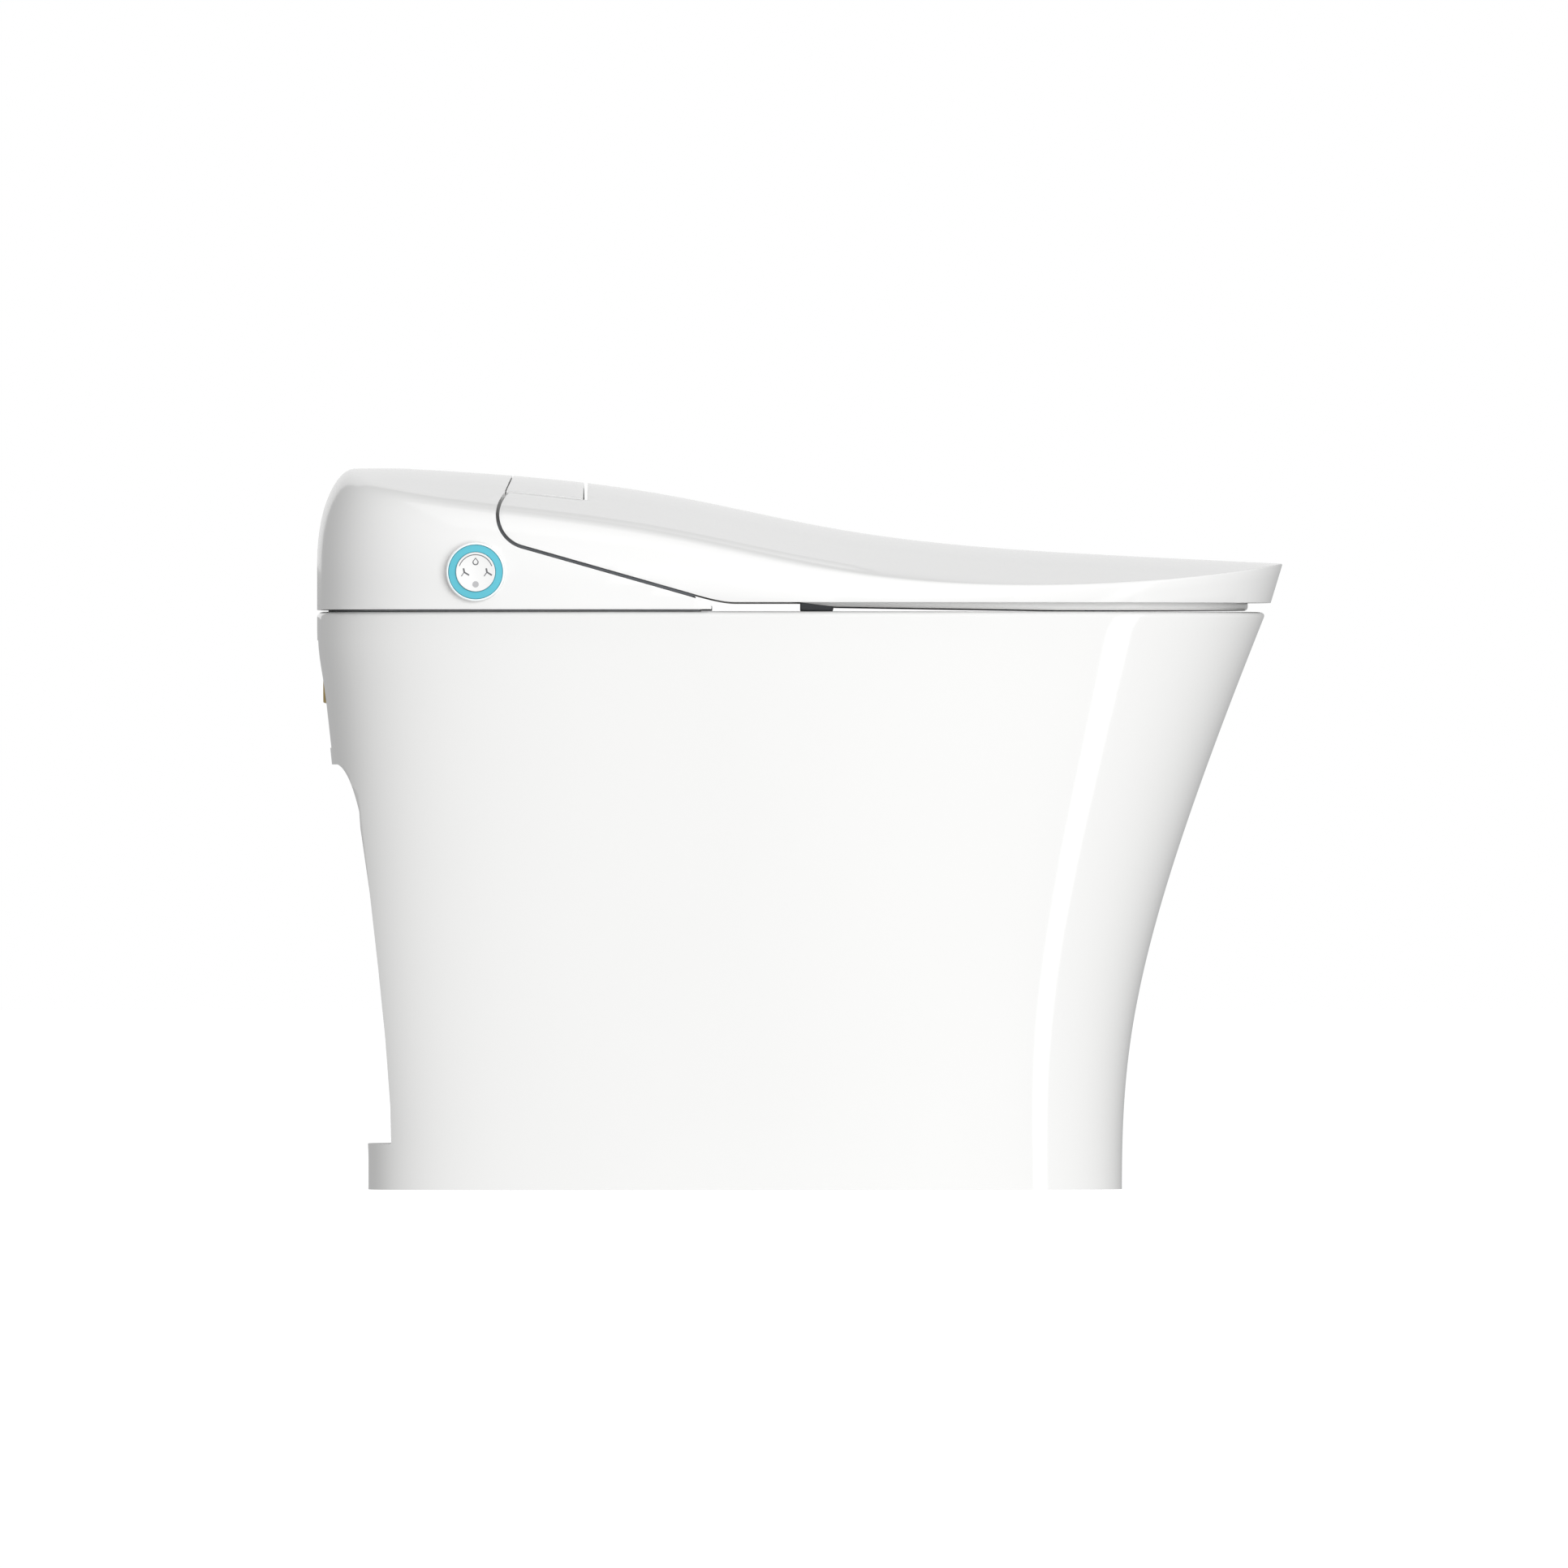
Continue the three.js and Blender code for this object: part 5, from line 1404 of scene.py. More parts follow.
@dataclass
class Housing:
    """Rear cover with its wings and the hinge cover; the base plate and the gasket under it stay as CAD
    nodes.
    """

    datum: Datum
    form: BodyForm
    seam: Seam
    wall: float = 3.0
    wing_thickness: float = 35.0
    panel_step: float = 36.0
    slot_inner: float = 86.0
    slot_outer: float = 116.0
    knuckle: float = 12.0
    cover_front: float = 38.0
    cover_rear: float = 13.8
    cover_bow: float = 4.7
    cover_half_width: float = 118.0
    cover_wall: float = 3.2
    pin_radius: float = 6.0
    dial_collar: float = 21.5
    dial_ring: float = 19.5
    dial_ring_face: float = 3.2
    dial_collar_round: float = 1.6
    dial_collar_depth: float = 22.0
    dial_bore_depth: float = 30.0
    slot_margin: float = 2.5
    slot_rear: float = 6.0
    cover_gap: float = 0.4
    opening_gap: float = 0.6
    cover_above_rim: float = 50.0
    ports: tuple[tuple[float, ...], ...] = ((-24, 24, -10, 41, 6), (44, 78, 9.5, 29, 4))
    port_depth: Flat = (5.0, 8.0)
    floor_cut: Flat = (5.0, 3.6)
    # Places of the dark strips that paint the shadow in the sloping seams.
    shadow_strip_clearance: float = 0.4
    shadow_strip_inset: float = 4.5
    shadow_strip_top: float = 4.0
    shadow_strip_front: float = 12.0

    @property
    def side_start(self) -> float:
        """Where the side walls of the housing begin."""
        return self.slot_outer + self.slot_margin

    @property
    def panel_front(self) -> float:
        """Front panel between the wings."""
        return self.datum.hinge.y - self.panel_step

    def build(self) -> None:
        """Make the pieces of the housing and dress them."""
        soft = Edges(0.5)
        publish(self._rear_cover(), "unit_rear_cover", GLOSS, "pan_and_unit",
                ["rear_cover"], soft)
        panel = self.form.solid().cut(self.form.solid(self.cover_wall))
        panel.meet(self._cover_zone(-self.cover_gap, self.datum.rim + self.cover_above_rim))
        publish(panel, "unit_hinge_cover", GLOSS, "pan_and_unit", ["hinge_cover"], soft)
        # Dark strips that paint the shadow in the sloping seams.
        self._seam_shadow_strips()

    def _bay(self, margin: float) -> Solid:
        """The bay for the seat ring between the wings."""
        half = self.datum.half_width - self.wing_thickness + margin
        return block(-half, half, -FAR, self.panel_front + margin, 0, FAR)

    def _cover_zone(self, margin: float, low: float) -> Solid:
        """Space over the hinges that the hinge cover closes.

        Args:
            margin: How much wider it is on every side.
            low: Height of its underside.

        Returns:
            The space.
        """
        d = self.datum
        half = self.cover_half_width + margin
        front = d.hinge.y - self.cover_front - margin
        rear = d.hinge.y + self.cover_rear + margin
        start = (half, rear + self.cover_bow)
        bow = bent(start, (0, rear - self.cover_bow), (-half, rear + self.cover_bow), 24)
        return prism([(-half, front), (half, front), start, *bow], Axis.Z, low, low + FAR)

    def _sides(self, outline: list[Flat], start: float) -> Solid:
        """A side-view shape outside a distance from the middle, on both sides."""
        return prism(outline, Axis.X, start, FAR).join(prism(outline, Axis.X, -FAR, -start))

    def _rear_cover(self) -> Solid:
        """Shell round the electric unit, with its wings, recesses and front panel."""
        d, seam, form, wall = self.datum, self.seam, self.form, self.wall
        side, panel = self.side_start, self.panel_front
        low = d.rim - seam.below_rim
        region = self._sides(seam.housing_side(0), side)
        region.join(block(-side - OVERLAP, side + OVERLAP, panel, FAR, low, FAR))
        outer = form.solid().meet(region, block(-FAR, FAR, -FAR, FAR, seam.cover_bottom, FAR))
        ear = d.hinge.y + seam.ear_radius + seam.gap + wall
        half_slot = self.slot_inner - wall
        room = self._sides(seam.housing_side(wall), side + wall)
        room.join(
            block(-half_slot, half_slot, panel + wall, FAR, 0, FAR), block(-FAR, FAR, ear, FAR, 0, FAR),
        )
        hollow = form.solid(wall).meet(room)
        hollow.cut(self._bay(wall).meet(block(-FAR, FAR, -FAR, panel + OVERLAP, 0, FAR)))
        wing = d.half_width - self.wing_thickness + wall
        for x0, x1 in ((side + wall, wing), (-wing, -side - wall)):
            hollow.cut(block(x0, x1, -FAR, panel + wall, 0, FAR))
        gap, hinge_rear = self.opening_gap, d.hinge.y + self.knuckle + self.slot_rear
        open_top = block(-half_slot, half_slot, panel + wall, hinge_rear, d.rim, FAR)
        open_top.meet(self._cover_zone(gap, 0))
        slot = block(self.slot_inner, self.slot_outer, -FAR, hinge_rear, low - 5, FAR)
        slots = slot.on_both_sides().meet(self._cover_zone(gap, 0).join(
            block(-FAR, FAR, -FAR, hinge_rear, 0, d.hinge.z + self.knuckle + 1),
        ))
        cover_top = self._cover_zone(gap, d.rim).cut(form.solid(self.cover_wall + 0.5))
        outer.cut(cover_top, self._bay(0), hollow, open_top, slots)
        front, rear = panel - self.port_depth[0], panel + self.port_depth[1]
        for x0, x1, bottom, top, radius in self.ports:
            outer.cut(port(Axis.Y, x0, x1, front, rear, d.rim + bottom, d.rim + top, radius))
        face = -d.half_width + self.dial_ring_face
        dial = (d.dial.y, d.dial.z)
        outer.join(rod(Axis.X, dial, face - 0.6, face + self.dial_collar_depth, self.dial_collar,
                       self.dial_collar_round, 96))
        bottom = seam.cover_bottom
        return outer.cut(
            rod(Axis.X, dial, -FAR, face + self.dial_bore_depth, self.dial_ring + FIT_GAP, steps=96),
            rod(Axis.X, (d.hinge.y, d.hinge.z), -side - 1, side + 1, self.pin_radius + FIT_GAP),
            self._sheet(wall + 0.2, bottom - self.floor_cut[0], bottom + self.floor_cut[1]),
        )

    def _seam_shadow_strips(self) -> None:
        """A dark strip in each sloping seam, fixed on the wing just under the lid's edge: painted
        shadow inside the gap.
        """
        seam = self.seam
        for name, start, end in (("left", 0, FAR), ("right", -FAR, 0)):
            strip = prism(seam.lid_side(self.shadow_strip_clearance - seam.gap), Axis.X, start, end)
            strip.cut(prism(seam.lid_side(-self.shadow_strip_clearance), Axis.X, start - 1, end + 1))
            strip.meet(self.form.solid(self.shadow_strip_inset)).cut(self.form.solid(3 * self.shadow_strip_inset))
            strip.cut(block(-FAR, FAR, -FAR, FAR, self.datum.hinge.z - self.shadow_strip_top, FAR))
            strip.cut(block(-FAR, FAR, -FAR, seam.wing_tip + self.shadow_strip_front, 0, FAR))
            # Dark rubber strip that paints the shadow inside the seam gap.
            publish(strip, f"seam_shadow_strip_{name}", RUBBER_AND_SEAM_SHADE, "pan_and_unit")

    def _sheet(self, inset: float, low: float, high: float) -> Solid:
        """Flat sheet under the housing in its plan shape."""
        plan = self.form.solid(inset)
        plan.meet(block(-FAR, FAR, self.seam.wing_tip + inset, FAR, low, high))
        return plan.cut(self._bay(inset))


# ---------------------------------------------------------------------------------------------
# Lid
# ---------------------------------------------------------------------------------------------


@dataclass
class Lid:
    """Lid: an outer shell with a round ear on each side, an inner panel and two bumpers."""

    datum: Datum
    form: BodyForm
    seam: Seam
    housing: Housing
    wall: float = 2.8
    liner_wall: float = 2.2
    rear_step: float = 40.5
    boss_front: float = 29.0
    boss_end: float = 150.0
    pin_end: float = 146.0
    bush_end: float = 140.0
    bush_radius: float = 8.8
    ear_gap: float = 2.3
    liner_lift: float = 2.4
    liner_rear: float = 46.0
    liner_inset: float = 1.0
    bumper_round: float = 1.6

    def build(self) -> None:
        """Make the pieces of the lid and dress them."""
        publish(self._shell(), "lid_outer", GLOSS, "lid", ["lid_shell"], Edges(0.5))
        publish(self._liner(), "lid_inner", SATIN, "lid", ["lid_liner"], Edges(0.5))
        for name in ("left", "right"):
            low, high = box_mm(f"lid_bumper_{name}")
            centre = ((low.x + high.x) / 2, (low.y + high.y) / 2)
            radius = (high.x - low.x) / 2
            foot = rod(Axis.Z, centre, low.z, high.z, radius, self.bumper_round, 40)
            publish(foot, f"lid_foot_{name}", RUBBER_AND_SEAM_SHADE, "lid", [f"lid_bumper_{name}"])

    def _shell(self) -> Solid:
        """Outer shell of the lid."""
        d, ear = self.datum, self.housing.side_start + self.ear_gap
        sides = self.seam.lid_side(0)
        middle = prism(sides, Axis.X, -ear - OVERLAP, ear + OVERLAP)
        middle.meet(block(-FAR, FAR, -FAR, d.hinge.y - self.rear_step, 0, FAR))
        region = prism(sides, Axis.X, ear, FAR).join(prism(sides, Axis.X, -FAR, -ear), middle)
        inner = self.seam.lid_side(self.wall)
        room = block(-FAR, FAR, -FAR, d.hinge.y - self.boss_front, 0, FAR)
        room.join(
            prism(inner, Axis.X, self.boss_end, FAR), prism(inner, Axis.X, -FAR, -self.boss_end),
        )
        hollow = self.form.solid(self.wall).meet(room)
        axis = (d.hinge.y, d.hinge.z)
        bore = self.housing.pin_radius + FIT_GAP
        return self.form.solid().meet(region).cut(
            hollow, rod(Axis.X, axis, -self.pin_end - 2, self.pin_end + 2, bore),
            rod(Axis.X, axis, -self.bush_end, 1 - ear, self.bush_radius + FIT_GAP),
        )

    def _liner(self) -> Solid:
        """Inner panel of the lid."""
        d = self.datum
        outer = self.wall + FIT_GAP
        low = d.rim + self.seam.lid_edge + self.liner_lift
        panel = self.form.solid(outer).cut(self.form.solid(outer + self.liner_wall))
        return panel.meet(
            block(-FAR, FAR, -FAR, d.hinge.y - self.liner_rear, low, FAR),
            prism(self.seam.lid_side(self.liner_inset), Axis.X, -FAR, FAR),
        )


# ---------------------------------------------------------------------------------------------
# Seat ring
# ---------------------------------------------------------------------------------------------


@dataclass
class SeatRing:
    """Heated seat ring: a crowned upper shell with two arms, a base plate and bumpers."""

    datum: Datum
    inset: float = 32.0
    ring_width: float = 60.0
    front_step: float = 25.0
    rear_step: float = 55.0
    widest_step: float = 234.3
    opening_front: float = 98.0
    opening_rear: float = 109.0
    thickness: float = 22.0
    wall: float = 3.0
    lift: float = 0.9
    gentle_slope: float = 0.016
    gentle_from: float = 379.3
    steep_slope: float = 0.115
    steep_from: float = 218.3
    outer_powers: Flat = (2.3, 2.6)
    inner_power: float = 2.1
    inner_widest: float = 30.0
    arm_round: float = 14.0
    arm_inner: float = 89.0
    arm_outer: float = 113.0
    arm_low: float = 57.0
    arm_high: float = 42.0
    arm_reach: float = 95.0
    neck_front: float = 7.6
    neck_round: float = 2.5
    knuckle: float = 12.0
    pin_radius: float = 6.0
    bumper_round: float = 1.8
    bumpers: tuple[str, ...] = ("rear_left", "rear_right", "front_left", "front_right")
    columns: int = 160

    def build(self) -> None:
        """Make the pieces of the seat and dress them."""
        publish(self._upper(), "seat_upper", GLOSS, "seat_ring", ["seat_top"],
                Edges(0.8, 60, 3))
        publish(self._base(), "seat_underside", SATIN, "seat_ring", ["seat_base"],
                Edges(0.4))
        for place in self.bumpers:
            node = f"seat_bumper_{place}"
            low, high = box_mm(node)
            foot = block(low.x, high.x, low.y, high.y, low.z, high.z, self.bumper_round)
            publish(foot, f"seat_foot_{place}", RUBBER_AND_SEAM_SHADE, "seat_ring", [node])

    def bottom(self, y: float) -> float:
        """Underside of the ring: level at the front, rising towards the hinge.

        Args:
            y: Place along the toilet.

        Returns:
            Height of the underside.
        """
        hinge = self.datum.hinge.y
        gentle = self.gentle_slope * max(0, y - (hinge - self.gentle_from))
        steep = self.steep_slope * max(0, y - (hinge - self.steep_from))
        return self.datum.rim + self.lift + gentle + steep

    def _outlines(self) -> tuple[list[Vector], list[Vector]]:
        """Outer and inner plan outlines of the ring."""
        d = self.datum
        widest = d.hinge.y - self.widest_step
        half = d.half_width - self.inset
        outer = Outline(
            d.front + self.front_step, d.hinge.y - self.rear_step, half, widest, *self.outer_powers
        )
        inner = Outline(
            d.front + self.opening_front, d.hinge.y - self.opening_rear, half - self.ring_width,
            widest - self.inner_widest, self.inner_power, self.inner_power,
        )
        return outer.points(self.columns), inner.points(self.columns)

    def _sweep(self, section: Sequence[SectionPoint]) -> Solid:
        """Sweep a section round the ring.

        Args:
            section: Points as (distance from the inner edge, distance from the outer edge,
                height), with None for the distance that isn't used.

        Returns:
            The swept ring.
        """
        columns = []
        for outer, inner in zip(*self._outlines()):
            across = outer - inner
            width = across.length
            column = []
            for from_inner, from_outer, height in section:
                share = from_inner / width if from_outer is None else 1 - from_outer / width
                at = inner + across * share
                column.append(Vector((at.x, at.y, self.bottom(at.y) + height)))
            columns.append(column)
        return Solid(loft(columns, closed=True))

    def _section(self, inset: float) -> list[SectionPoint]:
        """Section of the ring's outside, moved in by an inset and rounded.

        Args:
            inset: How far.

        Returns:
            Points as the sweep takes them.
        """
        top = self.thickness - inset
        inner = [(inset + 2.5, inset), (inset, inset + 2.0), (inset, 9.0), (inset + 2.2, top - 4.5),
                 (inset + 8, top - 0.8), (22, top)]
        outer = [(27, top), (14, top - 2.2), (inset + 4.5, top - 6.5), (inset + 0.9, top - 12),
                 (inset, 5.0), (inset, inset + 1.6), (inset + 1.8, inset)]
        return [(a, None, z) for a, z in ease(inner)] + [(None, b, z) for b, z in ease(outer)]

    def _arms(self) -> Solid:
        """The two arms that reach back to the hinge."""
        hinge = self.datum.hinge
        low, high = hinge.z - self.arm_low, hinge.z - self.arm_high
        start, rear = hinge.y - self.arm_reach, hinge.y + self.knuckle
        heel = (hinge.y + 2, low)
        neck = hinge.y - self.neck_front
        neck_top = (neck, high + self.neck_round)
        side = [
            (start, low), heel, *bent(heel, (rear, low), (rear, low + self.arm_round)),
            *arc((hinge.y, hinge.z), self.knuckle, 0, 222, 24), neck_top,
            *bent(neck_top, (neck, high), (neck - self.neck_round, high)), (start, high),
        ]
        return prism(side, Axis.X, self.arm_inner, self.arm_outer).on_both_sides()

    def _upper(self) -> Solid:
        """Upper shell with its arms."""
        hinge = self.datum.hinge
        shell = self._sweep(self._section(0))
        hollow = [
            (a, b, -5.0 if z < self.wall + 2.5 else z) for a, b, z in self._section(self.wall)
        ]
        shell.cut(self._sweep(hollow))
        shell.join(self._arms())
        bore = self.pin_radius + FIT_GAP
        return shell.cut(rod(Axis.X, (hinge.y, hinge.z), -FAR, FAR, bore))

    def _base(self) -> Solid:
        """Plate that closes the ring from below."""
        edge = self.wall + FIT_GAP
        plate = self._sweep([(edge, None, 0), (edge, None, 3), (None, edge, 3), (None, edge, 0)])
        hinge = self.datum.hinge
        reach = hinge.y - self.arm_reach - FIT_GAP
        plate.cut(block(
            self.arm_inner - FIT_GAP, self.arm_outer + FIT_GAP, reach, FAR,
            hinge.z - self.arm_low - FIT_GAP, FAR,
        ).on_both_sides())
        for place in self.bumpers:
            low, high = box_mm(f"seat_bumper_{place}")
            plate.cut(block(
                low.x - FIT_GAP, high.x + FIT_GAP, low.y - FIT_GAP, high.y + FIT_GAP,
                self.datum.rim, FAR,
            ))
        return plate


def ease(points: Sequence[Flat], rounds: int = 2) -> list[Flat]:
    """Round the corners of an open line by cutting them, with its ends kept."""
    line = list(points)
    for _ in range(rounds):
        eased = [line[0]]
        for (a0, b0), (a1, b1) in zip(line, line[1:]):
            eased += [(blend(a0, a1, share), blend(b0, b1, share)) for share in (0.25, 0.75)]
        line = [*eased, line[-1]]
    return line


# ---------------------------------------------------------------------------------------------
# Dial
# ---------------------------------------------------------------------------------------------


@dataclass
class Dial:
    """Dial on the side of the unit: a cap with printed marks inside a ring of light."""

    datum: Datum
    face: float = 0.4
    cap_radius: float = 14.2
    ring_inner: float = 14.5
    ring_outer: float = 19.5
    ring_face: float = 3.2
    lip_radius: float = 20.6
    lip_lift: float = 0.75
    print_thickness: float = 0.12
    cap_sink: float = 0.25
    cap_depth: float = 18.0
    ring_depth: float = 14.0
    socket_radius: float = 4.3
    socket_depth: float = 8.0
    mark_arc: Flat = (12.7, 12.1)
    drop_middle: float = 7.4
    drop_sizes: Flat = (2.2, 1.5)
    spray_start: Flat = (8.2, -0.2)
    spray_bars: tuple[Place, ...] = ((80, 2.8, 0.6), (212, 4.2, 0.55), (305, 3.6, 0.3))
    dot_centre: Flat = (0.0, -9.0)
    dot_radius: float = 2.3
    steps: int = 96

    def build(self) -> None:
        """Make the pieces of the dial and dress them."""
        d = self.datum
        centre = (0.0, d.dial.y, d.dial.z)
        start = -d.half_width + self.ring_face
        inner, outer = self.ring_inner, self.ring_outer
        ring = [
            (inner, start + self.ring_depth), (inner, start + 0.5), (inner + 0.5, start),
            (outer - 1.0, start), (outer - 0.3, start + 0.3), (outer, start + 1.0),
            (outer, start + self.ring_depth),
        ]
        publish(turned(ring, Axis.X, centre, self.steps), "dial_light_ring", LIGHT,
                "pan_and_unit", ["light_ring"])
        # The lip round the ring glows white: a painted halo of light from the lit ring.
        inner, outer = self.ring_outer + FIT_GAP + 0.05, self.lip_radius
        lip_start = start - self.lip_lift
        lip = [
            (inner, start + 0.2), (inner, lip_start), (outer - 0.3, lip_start), (outer, start - 0.5),
            (outer, start + 0.2),
        ]
        publish(turned(lip, Axis.X, centre, self.steps), "dial_painted_halo_lip", HALO,
                "pan_and_unit")
        front, radius = -d.half_width + self.face, self.cap_radius
        face, rear, socket = front + self.cap_sink, front + self.cap_depth, front + self.socket_depth
        cap = [
            (0.0, face), (radius - 1.3, face), (radius - 1.0, front + 0.12), (radius - 0.7, front),
            (radius - 0.4, front + 0.03), (radius - 0.1, face), (radius, front + 0.7),
            (radius, rear), (self.socket_radius, rear), (self.socket_radius, socket), (0.0, socket),
        ]
        publish(turned(cap, Axis.X, centre, self.steps), "dial_knob", GLOSS, "dial",
                ["dial_cap"])
        self._marks(face)

    def _plate(self, outline: Sequence[Flat], face: float, spare: float = 0.0) -> Solid:
        """A thin printed shape on the cap's face, drawn from the dial's middle.

        Args:
            outline: Points as (Y, Z) from the middle.
            face: Where the cap's face is along X.
            spare: How much further it reaches both ways, for a cutter.

        Returns:
            The shape.
        """
        d = self.datum
        shape = [(d.dial.y + y, d.dial.z + z) for y, z in outline]
        return prism(shape, Axis.X, face - self.print_thickness - spare, face + 0.2 + spare)

    def _bar(
        self, start: Flat, angle: float, length: float, half_width: float, face: float
    ) -> Solid:
        """A printed bar from a start point at an angle.

        Args:
            start: Where it starts.
            angle: Its angle in degrees.
            length: Its length.
            half_width: Half of its width.
            face: Where the cap's face is along X.

        Returns:
            The bar.
        """
        turn = math.radians(angle)
        ahead = Vector((math.cos(turn), math.sin(turn)))
        side = Vector((-math.sin(turn), math.cos(turn)))
        corners = [(0, -half_width), (length, -half_width), (length, half_width), (0, half_width)]
        places = [Vector(start) + ahead * a + side * b for a, b in corners]
        return self._plate([(place.x, place.y) for place in places], face)

    def _drop(self, size: float) -> list[Flat]:
        """Outline of a drop near the top of the face, a given half width across."""
        tip = (0.0, self.drop_middle + 1.35 * size)
        return [tip, *arc((0, self.drop_middle - 0.2 * size), size, 20, -200, 20)]

    def _marks(self, face: float) -> None:
        """Generic marks: an arc over the top, the outline of a drop, two sprays and a dot."""
        wide, narrow = self.mark_arc
        band = [*arc((0, 0), wide, 20, 160, 48), *arc((0, 0), narrow, 160, 20, 48)]
        whole, hole = self.drop_sizes
        marks = self._plate(band, face).join(self._plate(self._drop(whole), face))
        marks.cut(self._plate(self._drop(hole), face, 1.0))
        for side in (-1, 1):
            start = (self.spray_start[0] * side, self.spray_start[1])
            for angle, length, half_width in self.spray_bars:
                marks.join(self._bar(start, angle, length, half_width, face))
        publish(marks, "dial_marks", PRINT, "dial")
        dot = self._plate(arc(self.dot_centre, self.dot_radius, 0, 345, 23), face)
        publish(dot, "dial_dot", PALE_PRINT, "dial")


# ---------------------------------------------------------------------------------------------
# Washing parts and rear service fittings
# ---------------------------------------------------------------------------------------------


@dataclass
class Nozzles:
    """The two wash nozzles, each a smooth stem with a rack along its top."""

    datum: Datum
    radius: float = 7.0
    length: float = 135.0
    spacing: float = 11.0
    angle: float = 25.0
    tip_step: float = 30.3
    tip_lift: float = 26.5
    tip_round: float = 2.4
    tooth: float = 2.4
    rack_half_width: float = 1.6
    rack_start: float = 12.0
    rack_end: float = 2.0
    rack_height: float = 1.2
    jet_place: float = 9.0
    jet_radius: float = 1.1
    jet_face: float = 3.2

    def build(self) -> None:
        """Make both nozzles and dress them."""
        for name, side in (("rear", 1), ("front", -1)):
            stem = rod(Axis.Y, (0, 0), 0, self.length, self.radius, self.tip_round, 48)
            jet_at, top = (0, self.jet_place), self.radius + 1
            jet = rod(Axis.Z, jet_at, 0, top, self.jet_radius, steps=16)
            face = rod(Axis.Z, jet_at, self.radius - 0.5, top, self.jet_face, steps=32)
            stem.join(self._rack()).cut(face, jet)
            place = Matrix.Translation((
                side * self.spacing, self.datum.hinge.y - self.tip_step, self.datum.rim + self.tip_lift,
            ))
            stem.moved(place @ Matrix.Rotation(math.radians(self.angle), 4, "X"))
            publish(stem, f"{name}_wash_nozzle", SATIN, f"{name}_nozzle_body",
                    [f"{name}_nozzle"])

    def _rack(self) -> Solid:
        """Toothed bar along the top of a stem."""
        half, end = self.rack_half_width, self.length - self.rack_end
        rack = block(-half, half, self.rack_start, end, 0, self.radius + self.rack_height)
        low, high = self.radius + 0.5, self.radius + 3
        for tooth in range(int((end - self.rack_start - 2) / self.tooth)):
            at = self.rack_start + 1 + tooth * self.tooth
            rack.cut(block(-2 * half, 2 * half, at, at + self.tooth / 2, low, high))
        return rack


@dataclass
class RearFittings:
    """Fittings in the opening at the rear: the water inlet and the gland of the power lead."""

    datum: Datum
    thread_pitch: float = 1.8
    thread_depth: float = 0.7
    thread_start: float = 8.0
    nut: Flat = (-8.0, -3.3)
    shoulder: float = 0.3
    inlet_radius: float = 10.0
    inlet_bore: float = 6.5
    inlet_collar: float = 14.0
    gland_radius: float = 8.0
    gland_bore: float = 3.6
    gland_collar: float = 12.0

    def build(self) -> None:
        """Make both fittings and dress them."""
        plate = box_mm("service_plate")[1].y
        face, thread = plate + self.shoulder, plate + self.thread_start
        nut = [plate + along for along in self.nut]
        low, high = box_mm("water_inlet")
        centre = ((low.x + high.x) / 2, (low.z + high.z) / 2)
        inlet = self._threaded(centre, low.y, high.y, self.inlet_radius, thread)
        inlet.join(rod(Axis.Y, centre, face, plate + 6, self.inlet_collar, steps=6),
                   rod(Axis.Y, centre, *nut, self.inlet_collar, steps=6))
        inlet.cut(rod(Axis.Y, centre, low.y - 5, high.y + 5, self.inlet_bore))
        publish(inlet, "threaded_inlet", BRASS, "pan_and_unit", ["water_inlet"], Edges(0.25))
        low, high = box_mm("cord_gland")
        centre = ((low.x + high.x) / 2, (low.z + high.z) / 2)
        gland = self._threaded(centre, low.y, thread, self.gland_radius, thread)
        gland.join(rod(Axis.Y, centre, plate + 4, high.y, self.gland_radius, 1.5),
                   rod(Axis.Y, centre, face, plate + 5, self.gland_collar, 0.8),
                   rod(Axis.Y, centre, *nut, self.gland_collar, steps=6))
        gland.cut(rod(Axis.Y, centre, low.y - 5, high.y + 5, self.gland_bore))
        publish(gland, "lead_gland", DARK, "pan_and_unit", ["cord_gland"], Edges(0.25))

    def _threaded(
        self, centre: Flat, start: float, end: float, radius: float, plain_to: float
    ) -> Solid:
        """A spigot with a plain stretch and then thread ridges.

        Args:
            centre: Its X and Z.
            start: Where it starts.
            end: Where it ends.
            radius: Its radius.
            plain_to: Where the thread starts.

        Returns:
            The spigot.
        """
        profile = [(0.0, start), (radius - 1, start), (radius - 0.6, start + 0.6)]
        at = plain_to
        while at + self.thread_pitch < end - 1:
            profile += [(radius - self.thread_depth, at), (radius, at + self.thread_pitch / 2)]
            at += self.thread_pitch
        profile += [(radius - self.thread_depth, end - 0.6), (radius - 1.2, end), (0.0, end)]
        return turned(profile, Axis.Y, (centre[0], 0, centre[1]), 48)


# ---------------------------------------------------------------------------------------------
# CAD nodes that are kept
# ---------------------------------------------------------------------------------------------


